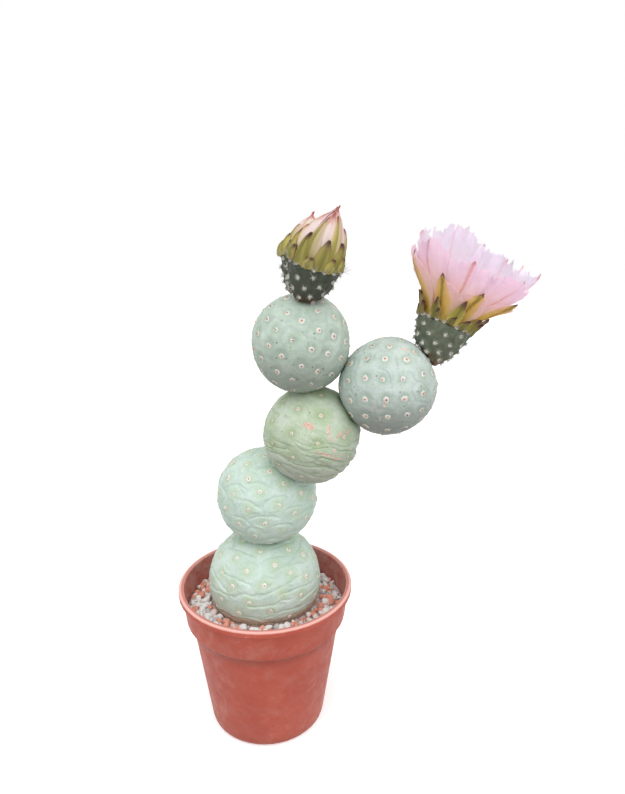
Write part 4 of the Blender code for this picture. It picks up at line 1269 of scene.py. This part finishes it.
def add_bud(bud, paints):
    """A closed bud: dark-pointed bracts and scales, longer tepals and the pink inner ones."""
    scale_count, inner_count, tip_bend, seed = BUD_LOOKS[bud]
    random, bract_random = np.random.default_rng(seed), np.random.default_rng(seed + 7)
    centre, axis = flat_top(f"{bud}_ovary")
    axes = frame_of(axis)
    core = bud_outline(bud, centre, axes)
    names = nodes_named(f"{bud}_tepal_")
    shift = np.array((tip_bend[0], tip_bend[1], 0.0)) @ axes.T

    def bend(grid):
        share = np.clip(grid[..., 2:3] / core.tip, 0, 1.2)
        return grid + shift * share**2.2

    def ring_of(kind, tip_share, inset, step):
        ring = BudRing(names, centre, axes, core, core.tip * tip_share, inset, step)
        ring.foot = 0.0
        return ring, PLAIN_BLADE | BUD_BLADES[kind]

    step = 2 * math.pi / scale_count
    ring, look = ring_of("scale", 0.46, -0.25, step)
    for number in range(scale_count):
        turn = number * step + random.uniform(-0.1, 0.1)
        name = f"{bud}_scale_{number + 1}"
        add_blade(name, ring, turn, look, paints["bud_scale"], "bud_tepal", random, bend=bend)
    ring, look = ring_of("bract", 0.27, -0.25, step)
    for number in range(scale_count):
        turn = (number + 0.5) * step + bract_random.uniform(-0.15, 0.15)
        name = f"{bud}_bract_{number + 1}"
        add_blade(name, ring, turn, look, paints["bud_scale"], "bud_tepal", bract_random, bend=bend)
    ring, look = ring_of("tepal", 0.80, 0.55, 2 * math.pi / len(names))
    for node, turn in zip(names, ring.turns):
        name = f"{node}_blade"
        add_blade(name, ring, turn, look, paints["bud_tepal"], "bud_tepal", random, (node,), bend)
    step = 2 * math.pi / inner_count
    ring, look = ring_of("inner", 1.0, 1.2, step * 1.5)
    for number in range(inner_count):
        name, turn = f"{bud}_inner_{number + 1}", number * step + 0.4
        add_blade(name, ring, turn, look, paints["bud_inner"], "bud_core", random, bend=bend)
    add_heart(bud, centre, axes, core, bend, paints["bud_inner"])


def add_heart(bud, centre, axes, core, bend, material):
    """The rolled petals that fill a bud under its inner tepals."""
    rows, columns = 40, 40
    along = np.linspace(0, 1, rows)[:, None] * np.ones(columns)
    turn = in_turns(columns)
    level = along * core.tip * 0.97
    radius = np.maximum(np.interp(level, *core.table) - 2.0 * (1 - 0.6 * along), 0.12)
    folds = 0.25 * np.sin(5 * turn[None] + 4 * along) * smoothstep(along * 2)
    radius = np.maximum(radius + folds * np.minimum(radius / 3, 1), 0.1)
    grid = bend(around(radius, turn, level))
    index = np.arange(rows * columns).reshape(rows, columns)
    walls = ring_walls(index).tolist() + [index[0, ::-1].tolist(), index[-1].tolist()]
    across = np.sin(2.5 * turn[None] + 2 * along)
    fields = {"along": along.ravel(), "across": across.ravel(), "lot": np.zeros(along.size)}
    points = centre + grid.reshape(-1, 3) @ axes
    add_mesh(f"{bud}_heart", points, walls, material, "bud_core", (f"{bud}_core",), fields)


# ---- Grit, soil and roots ----------------------------------------------------------------------
GRAVEL_KINDS = {
    # name: share of the grains, lightest and darkest colour
    "white_grit": (0.60, (0.96, 0.95, 0.94), (0.84, 0.82, 0.80)),
    "grey_grit": (0.09, (0.70, 0.67, 0.66), (0.50, 0.48, 0.47)),
    "terracotta_grit": (0.16, (0.92, 0.44, 0.33), (0.80, 0.32, 0.22)),
    "tan_grit": (0.15, (0.90, 0.80, 0.76), (0.76, 0.64, 0.60)),
}
COARSE_GRAINS, FINE_GRAINS = 520, 2400
COARSE_RADII, FINE_RADII = (0.95, 2.0), (0.3, 0.7)
COARSE_PILED, FINE_PILED = 1.5, 0.25  # how high over the bed a grain may come to lie
EXTRA_TERRACOTTA = 0.22  # share of the other coarse grains that become terracotta
DROPS = 30  # places tried for each grain
BED_CELL = 0.35  # step of the grid of heights
BED_BELOW_TOP = 3.9


def icosphere(subdivisions):
    """Directions and triangles of a ball of even triangles."""
    mesh = bpy.data.meshes.new("ball")
    ball = bmesh.new()
    bmesh.ops.create_icosphere(ball, subdivisions=subdivisions, radius=1)
    ball.to_mesh(mesh)
    ball.free()
    points = np.array([vert.co for vert in mesh.vertices])
    triangles = np.array([list(face.vertices) for face in mesh.polygons])
    bpy.data.meshes.remove(mesh)
    return points, triangles


def grain(random, directions, size):
    """A broken stone: a ball cut by random planes, with worn edges."""
    normals = unit(random.normal(size=(9, 3)))
    offsets = random.uniform(0.62, 1.0, 9)
    facing = directions @ normals.T
    reach = np.where(facing > 0.05, offsets / np.maximum(facing, 0.05), 9).min(axis=1)
    reach = np.minimum(reach, 1.12)
    stretch = random.uniform(0.72, 1.2, 3)
    points = directions * reach[:, None] * stretch
    points = points * (1 + 0.012 * random.normal(size=len(points)))[:, None]
    turn = frame_of(random.normal(size=3), random.normal(size=3))
    return points @ turn * size


def inner_wall_radius(level):
    """Inside radius of the pot at a height."""
    tree = node_tree("nursery_pot")
    hit = tree.ray_cast(Vector((0, 0, level)), Vector((math.cos(0.4), math.sin(0.4), 0)))
    return hit[3]


def bed_heights(top, wall):
    """Heights of the bed over a square grid: higher round the plant and at the wall."""
    half = int(float(node_box("grit_top_dressing")[1][0]) / BED_CELL) + 2
    axis = np.arange(-half, half + 1) * BED_CELL
    across, up = np.meshgrid(axis, axis, indexing="ij")
    flat = np.stack((across.ravel(), up.ravel(), np.zeros(across.size)), -1)
    bed = top - BED_BELOW_TOP + 0.8 * fractal(flat, 14.0, 3, 3) + 0.18 * fractal(flat, 1.2, 8, 2)
    away = off_axis(flat)
    bed = bed + 0.9 * smoothstep((30 - away) / 12) + 0.5 * smoothstep((away - wall + 4) / 4)
    return axis, half, bed.reshape(across.shape)


def in_plant(place, skin, near):
    """Whether the place is nearer the segment's middle than the skin point beside it."""
    from_middle, reach = place - skin.centre, np.array(near) - skin.centre
    return from_middle @ from_middle < reach @ reach


def add_grit(skin):
    """The dressing: a fine bed, then sorted grains dropped on it until it is covered."""
    random = np.random.default_rng(77)
    low, high = node_box("grit_top_dressing")
    wall = inner_wall_radius(high[2] - 1.5) - 0.2
    trunk = BVHTree.FromPolygons(skin.points.tolist(), skin.faces.tolist())
    axis, half, flat_bed = bed_heights(high[2], wall)
    add_bed(axis, flat_bed, wall, low)
    heights = flat_bed.copy()
    coarse_sizes = np.sort(random.uniform(*COARSE_RADII, COARSE_GRAINS))[::-1]
    sizes = np.concatenate((coarse_sizes, random.uniform(*FINE_RADII, FINE_GRAINS)))
    coarse_ball, fine_ball = icosphere(3), icosphere(1)
    piles = {name: Pile() for name in GRAVEL_KINDS}
    names = list(GRAVEL_KINDS)
    shares = np.array([GRAVEL_KINDS[name][0] for name in names])
    for size in sizes:
        coarse = size > FINE_RADII[1]
        for _ in range(DROPS):
            radius, turn = wall * math.sqrt(random.random()), random.uniform(0, 2 * math.pi)
            x, y = radius * math.cos(turn), radius * math.sin(turn)
            if coarse and random.random() < 0.72 * smoothstep((x - 0.2 * y - 8) / 10):
                continue
            if radius > wall - size * 0.9:
                continue
            column, row = int(round(x / BED_CELL)) + half, int(round(y / BED_CELL)) + half
            reach = max(1, int(size / BED_CELL))
            under = (slice(column - reach, column + reach + 1), slice(row - reach, row + reach + 1))
            patch = heights[under]
            ground = float(patch.mean() * 0.7 + patch.max() * 0.3)
            piled = ground - float(flat_bed[column, row])
            if piled > (COARSE_PILED if coarse else FINE_PILED):
                continue
            place = np.array((x, y, ground + size * random.uniform(0.05, 0.35)))
            near, _, _, gap = trunk.find_nearest(Vector(place))
            if in_plant(place, skin, near) or gap < (size + 0.5 if coarse else size * 0.75):
                continue
            break
        else:
            continue
        kind = names[int(random.choice(len(names), p=shares))]
        if coarse and kind != "terracotta_grit" and random.random() < EXTRA_TERRACOTTA:
            kind = "terracotta_grit"
        directions, triangles = coarse_ball if coarse else fine_ball
        points = grain(random, directions, size) + place
        _, light, dark = GRAVEL_KINDS[kind]
        share = random.random()
        tint = np.array(light) * (1 - share) + np.array(dark) * share
        piles[kind].add(points, [triangles], tint)
        steps = np.arange(-reach, reach + 1) * BED_CELL
        bump = np.sqrt(np.maximum(size**2 - steps[:, None] ** 2 - steps[None] ** 2, 0))
        heights[under] = np.maximum(patch, np.where(bump > 0, place[2] + bump * 0.75, -99))
    for name, pile in piles.items():
        pile.build(name, grit_material(name), "grit")


def add_bed(axis, heights, wall, low):
    """The fine sand and dust between the grains, as a closed disc over the soil."""
    rings, sides = 90, 220
    radius = np.linspace(0.0, wall + 0.1, rings + 1)[1:]
    turn = in_turns(sides)
    x, y = radius[:, None] * np.cos(turn), radius[:, None] * np.sin(turn)
    step = axis[1] - axis[0]
    columns, rows = (np.round((side - axis[0]) / step).astype(int) for side in (x, y))
    level = heights[columns, rows]
    top = np.stack((x, y, level), -1).reshape(-1, 3)
    index = np.arange(rings * sides).reshape(rings, sides)
    after = np.roll(index, -1, axis=1)
    walls = np.stack((index[:-1], index[1:], after[1:], after[:-1]), -1).reshape(-1, 4).tolist()
    foot = np.stack((x[-1], y[-1], np.full(sides, low[2] + 0.1)), -1)
    points = np.concatenate((top, foot, [[0, 0, float(level[0].mean())]]))
    last, base, middle = index[-1], np.arange(sides) + rings * sides, (rings + 1) * sides
    skirt = np.stack((last, base, np.roll(base, -1), np.roll(last, -1)), -1).tolist()
    centre = [[middle, int(index[0, k]), int(after[0, k])] for k in range(sides)]
    faces = walls + skirt + centre + [base[::-1].tolist()]
    add_mesh("grit_bed", points, faces, bed_material(), "grit", ("grit_top_dressing",))


def bed_material():
    """Pinkish fine sand and dust."""
    paint = Paint("fine_grit", roughness=0.95, Specular_IOR_Level=0.15)
    speckle = paint.span(paint.noise(0.9, 4, 0.75), 0.3, 0.7)
    colour = paint.mix(speckle, (0.60, 0.53, 0.51), (0.90, 0.85, 0.83))
    colour = paint.mix(paint.span(paint.noise(7, 2), 0.42, 0.62, 0.0, 0.5), colour, (0.70, 0.60, 0.58))
    colour = paint.mix(paint.span(paint.cells(0.8), 0.25, 0.1, 0.0, 0.6), colour, (0.92, 0.90, 0.88))
    normal = paint.bump(paint.cells(0.7), 0.25)
    return paint.finish(colour, paint.bump(paint.noise(0.3, 3, 0.7), 0.1, normal))


def grit_material(name):
    """Dusty stone: each grain brings its own colour."""
    paint = Paint(name, roughness=0.88, Specular_IOR_Level=0.25)
    shade = paint.span(paint.noise(0.9, 4, 0.7), 0.3, 0.7, 0.82, 1.04)
    colour = paint.shaded(paint.colour_field("tint"), shade)
    dust = paint.span(paint.noise(0.5, 3, 0.7), 0.55, 0.75, 0.0, 0.35)
    colour = paint.mix(dust, colour, (0.80, 0.76, 0.72))
    normal = paint.bump(paint.noise(0.5, 4, 0.7), 0.08)
    return paint.finish(colour, paint.bump(paint.cells(0.3), 0.03, normal))


def soil_material():
    """Peat with bits of bark and perlite."""
    paint = Paint("peat_and_bark", roughness=0.97, Specular_IOR_Level=0.1)
    crumbs = paint.span(paint.noise(1.5, 5, 0.75), 0.3, 0.7)
    colour = paint.mix(crumbs, (0.030, 0.018, 0.012), (0.14, 0.085, 0.055))
    colour = paint.mix(paint.span(paint.cells(3.5), 0.22, 0.08, 0.0, 0.7), colour, (0.62, 0.58, 0.52))
    normal = paint.bump(paint.cells(2.2), 0.7)
    return paint.finish(colour, paint.bump(paint.noise(0.8, 4, 0.7), 0.4, normal))


def root_material():
    """Bark in streaks along the root."""
    paint = Paint("root_bark", roughness=0.9, Specular_IOR_Level=0.15)
    streaks = paint.noise(0.8, 4, 0.7, 0.3, paint.stretched((1.0, 1.0, 0.25)))
    colour = paint.mix(paint.span(streaks, 0.3, 0.7), (0.24, 0.15, 0.08), (0.58, 0.43, 0.27))
    return paint.finish(colour, paint.bump(streaks, 0.35))


# ---- Pot ---------------------------------------------------------------------------------------
LIP_WEAR_AND_HIGHLIGHT = (0.95, 0.15)  # depths under the rim between which the lip turns pale, partly wear and partly a painted highlight
LIP_EDGE = (1.7, 0.9)  # how far in from the outside the paleness begins and is full
COLLAR_FOOT = 19.0  # depth of the collar's lower edge under the rim
COLLAR_SHADE = 5.5  # how far below it the painted shadow of the collar reaches
# height above the foot over which the wall grows darker towards the bottom
BOTTOM_DARKENING_HEIGHT = 7.0
POT_CREASE = math.radians(32)  # angle from which an edge stays sharp


def pot_material():
    """Injection-moulded brown-red plastic: a paler lip, part wear and part painted highlight, dusty water
    marks, a film inside, a painted shadow under the collar, and darker towards the bottom.
    """
    paint = Paint("pot_plastic", roughness=0.5, Specular_IOR_Level=0.4)
    low, high = node_box("nursery_pot")
    top, outside = high[2], high[0]
    level = paint.node("ShaderNodeSeparateXYZ", {0: paint.place()}).outputs["Z"]

    def at_levels(first, last, to_low=0.0, to_high=1.0):
        return paint.span(level, first * MM, last * MM, to_low, to_high)

    broad = paint.span(paint.noise(22, 3, 0.6), 0.3, 0.7)
    colour = paint.mix(broad, (0.440, 0.074, 0.044), (0.505, 0.094, 0.056))
    colour = paint.shaded(colour, paint.span(paint.noise(0.9, 4, 0.7), 0.3, 0.7, 0.90, 1.0))
    haze = paint.span(paint.noise(15, 6, 0.72, 0.3), 0.48, 0.80, 0.0, 0.26)
    colour = paint.mix(haze, colour, (0.66, 0.36, 0.30))
    smears = paint.noise(1.6, 6, 0.8, 0.7, paint.stretched((1.0, 1.0, 2.2)))
    patches = paint.span(paint.noise(11, 2), 0.52, 0.64, 0.0, 0.75)
    smears = paint.product(paint.span(smears, 0.57, 0.76), patches)
    colour = paint.mix(smears, colour, (0.80, 0.62, 0.56))

    flat_place = {0: paint.place(), 1: (1.0, 1.0, 0.0)}
    flat_place = paint.node("ShaderNodeVectorMath", flat_place, operation="MULTIPLY").outputs[0]
    radius = paint.node("ShaderNodeVectorMath", {0: flat_place}, operation="LENGTH").outputs["Value"]
    # the lip's pale band is partly wear and partly a painted highlight on the rounded rim
    worn_and_highlit = paint.span(radius, (outside - LIP_EDGE[0]) * MM, (outside - LIP_EDGE[1]) * MM, 0.25, 0.92)
    lip = paint.product(at_levels(top - LIP_WEAR_AND_HIGHLIGHT[0], top - LIP_WEAR_AND_HIGHLIGHT[1]), worn_and_highlit)
    colour = paint.mix(lip, colour, (0.90, 0.50, 0.44))

    # inside walls face the pot's axis: their normal and place point opposite ways
    facing = paint.node("ShaderNodeNewGeometry", {}).outputs["Normal"]
    rise = paint.product(paint.node("ShaderNodeSeparateXYZ", {0: facing}).outputs["Z"], level)
    outward = {0: facing, 1: paint.place()}
    outward = paint.node("ShaderNodeVectorMath", outward, operation="DOT_PRODUCT").outputs["Value"]
    inside = paint.span(paint.maths("SUBTRACT", outward, rise), 0.0, -0.012)
    film = paint.span(paint.noise(5, 5, 0.75, 0.5), 0.30, 0.75, 0.05, 0.50)
    colour = paint.mix(paint.product(inside, film), colour, (0.62, 0.48, 0.45))

    foot = top - COLLAR_FOOT
    # painted shadow: the wall darkens just under the collar's lower edge
    below_collar = paint.maths("LESS_THAN", level, (foot + 0.1) * MM)
    shade = paint.product(at_levels(foot - COLLAR_SHADE, foot, 0.0, 0.42), below_collar)
    colour = paint.mix(shade, colour, (0.16, 0.035, 0.022))
    # darker towards the bottom of the pot
    colour = paint.mix(at_levels(low[2] + BOTTOM_DARKENING_HEIGHT, low[2], 0.0, 0.35), colour, (0.30, 0.10, 0.07))
    scratches = paint.noise(1.1, 3, 0.6, 0.0, paint.stretched((0.25, 0.25, 3.5)))
    normal = paint.bump(scratches, 0.03)
    normal = paint.bump(paint.noise(0.5, 3, 0.7), 0.02, normal)
    normal = paint.bump(paint.noise(12, 2), 0.25, normal)
    gloss = paint.span(paint.noise(5, 4, 0.7), 0.3, 0.7, 0.42, 0.62)
    return paint.finish(colour, normal, gloss)


def dress_node(name, material, crease_angle=None):
    """Gives a carried-over frame node its material, and smooth shading up to an angle."""
    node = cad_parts[name]
    node.data.materials.clear()
    node.data.materials.append(material)
    if crease_angle is None:
        return
    mesh = node.data
    _, index = np.unique(np.round(node_points(name), 3), axis=0, return_inverse=True)
    index = index.reshape(-1)
    normals, owners = {}, {}
    for number, face in enumerate(mesh.polygons):
        corners = [int(index[vert]) for vert in face.vertices]
        for first, second in zip(corners, corners[1:] + corners[:1]):
            owners.setdefault((min(first, second), max(first, second)), []).append(number)
        normals[number] = np.array(face.normal)
    limit = math.cos(crease_angle)
    layer = mesh.attributes.get("sharp_edge") or mesh.attributes.new("sharp_edge", "BOOLEAN", "EDGE")
    for edge in mesh.edges:
        first, second = (int(index[vert]) for vert in edge.vertices)
        sides = owners.get((min(first, second), max(first, second)), [])
        folded = len(sides) == 2 and normals[sides[0]] @ normals[sides[1]] < limit
        layer.data[edge.index].value = bool(folded)
    mesh.polygons.foreach_set("use_smooth", [True] * len(mesh.polygons))
    mesh.normals_split_custom_set_from_vertices([(0, 0, 0)] * len(mesh.vertices))
    weld = node.modifiers.new("weld", "WELD")
    weld.merge_threshold = 1e-6


# ---- Camera, light and floor -------------------------------------------------------------------
SKY_ABOVE = 0.84  # strength of the light from straight above, and from below
SKY_BELOW = 0.46
KEY_AIM, KEY_STRENGTH, KEY_SPREAD = (0.21, 0.68, -0.92), 1.4, 80
FILL_AIM, FILL_STRENGTH, FILL_SPREAD = (-0.9, 0.6, -0.35), 0.6, 60
CAMERA_PLACE = (0.023199, -0.265391, 0.236069)  # metres, as are the other values here
CAMERA_DOWN = 0.256  # radians below the level
CAMERA_LENS, CAMERA_SENSOR = 27.2, 36.0
FLOOR_HALF = 3.0
FLOOR_GLOW = 0.3


def set_stage():
    """The camera at the photograph's angle, a pale studio and a pale floor."""
    scene = bpy.context.scene
    data = bpy.data.cameras.new("camera")
    data.lens = CAMERA_LENS
    data.sensor_width = CAMERA_SENSOR
    data.clip_start = 0.001
    camera = bpy.data.objects.new("camera", data)
    camera.location = CAMERA_PLACE
    camera.rotation_euler = (math.pi / 2 - CAMERA_DOWN, 0, 0)
    scene.collection.objects.link(camera)
    scene.camera = camera

    world = bpy.data.worlds.new("studio")
    scene.world = world
    world.use_nodes = True
    tree = world.node_tree
    place = tree.nodes.new("ShaderNodeTexCoord")
    height = tree.nodes.new("ShaderNodeSeparateXYZ")
    level = tree.nodes.new("ShaderNodeMapRange")
    tree.links.new(place.outputs["Generated"], height.inputs[0])
    tree.links.new(height.outputs["Z"], level.inputs["Value"])
    levels = {"From Min": -0.5, "From Max": 0.7, "To Min": SKY_BELOW, "To Max": SKY_ABOVE}
    for key, value in levels.items():
        level.inputs[key].default_value = value
    seen = tree.nodes.new("ShaderNodeLightPath")
    backdrop = tree.nodes.new("ShaderNodeMix")
    tree.links.new(seen.outputs["Is Camera Ray"], backdrop.inputs[0])
    tree.links.new(level.outputs[0], backdrop.inputs[2])
    backdrop.inputs[3].default_value = 1.0
    tree.links.new(backdrop.outputs[0], tree.nodes["Background"].inputs["Strength"])
    tree.nodes["Background"].inputs["Color"].default_value = (1, 1, 1, 1)
    add_sun("key", KEY_AIM, KEY_STRENGTH, math.radians(KEY_SPREAD))
    add_sun("fill", FILL_AIM, FILL_STRENGTH, math.radians(FILL_SPREAD))

    floor = bpy.data.meshes.new("floor")
    corners = [(x * FLOOR_HALF, y * FLOOR_HALF, 0) for x, y in ((-1, -1), (1, -1), (1, 1), (-1, 1))]
    floor.from_pydata(corners, [], [(0, 1, 2, 3)])
    plane = bpy.data.objects.new("floor", floor)
    scene.collection.objects.link(plane)
    paint = Paint("floor_paper", roughness=0.9)
    shade = paint.span(paint.noise(60, 2), 0.2, 0.8, 0.93, 0.95)
    floor.materials.append(paint.finish(paint.shaded((1.0, 1.0, 1.0), shade)))
    paint.shader.inputs["Emission Color"].default_value = (1, 1, 1, 1)
    paint.shader.inputs["Emission Strength"].default_value = FLOOR_GLOW
    plane.visible_diffuse = False
    scene.view_settings.view_transform = "Standard"


def add_sun(name, aim, strength, angle):
    data = bpy.data.lights.new(name, "SUN")
    data.energy = strength
    data.angle = angle
    light = bpy.data.objects.new(name, data)
    light.rotation_euler = Vector(aim).to_track_quat("-Z", "Y").to_euler()
    bpy.context.scene.collection.objects.link(light)


# ---- The whole object --------------------------------------------------------------------------
set_stage()
tufts = tuft_material("areole_tufts")
skins = {node: Skin(node) for node in SEGMENT_LOOKS}
for skin in skins.values():
    skin.build()
add_segment_areoles(skins, tufts)
for node in OVARY_LOOKS:
    add_ovary(node, tufts)
paints = {name: tepal_material(name, PLAIN_TISSUE | look) for name, look in TEPAL_COLOURS.items()}
inner_ring = add_flower(paints)
add_style(inner_ring, add_stamens(inner_ring))
for bud in BUD_LOOKS:
    add_bud(bud, paints)
add_grit(skins["stem_segment_1"])
dress_node("potting_soil", soil_material())
dress_node("rootstock", root_material())
dress_node("nursery_pot", pot_material(), POT_CREASE)
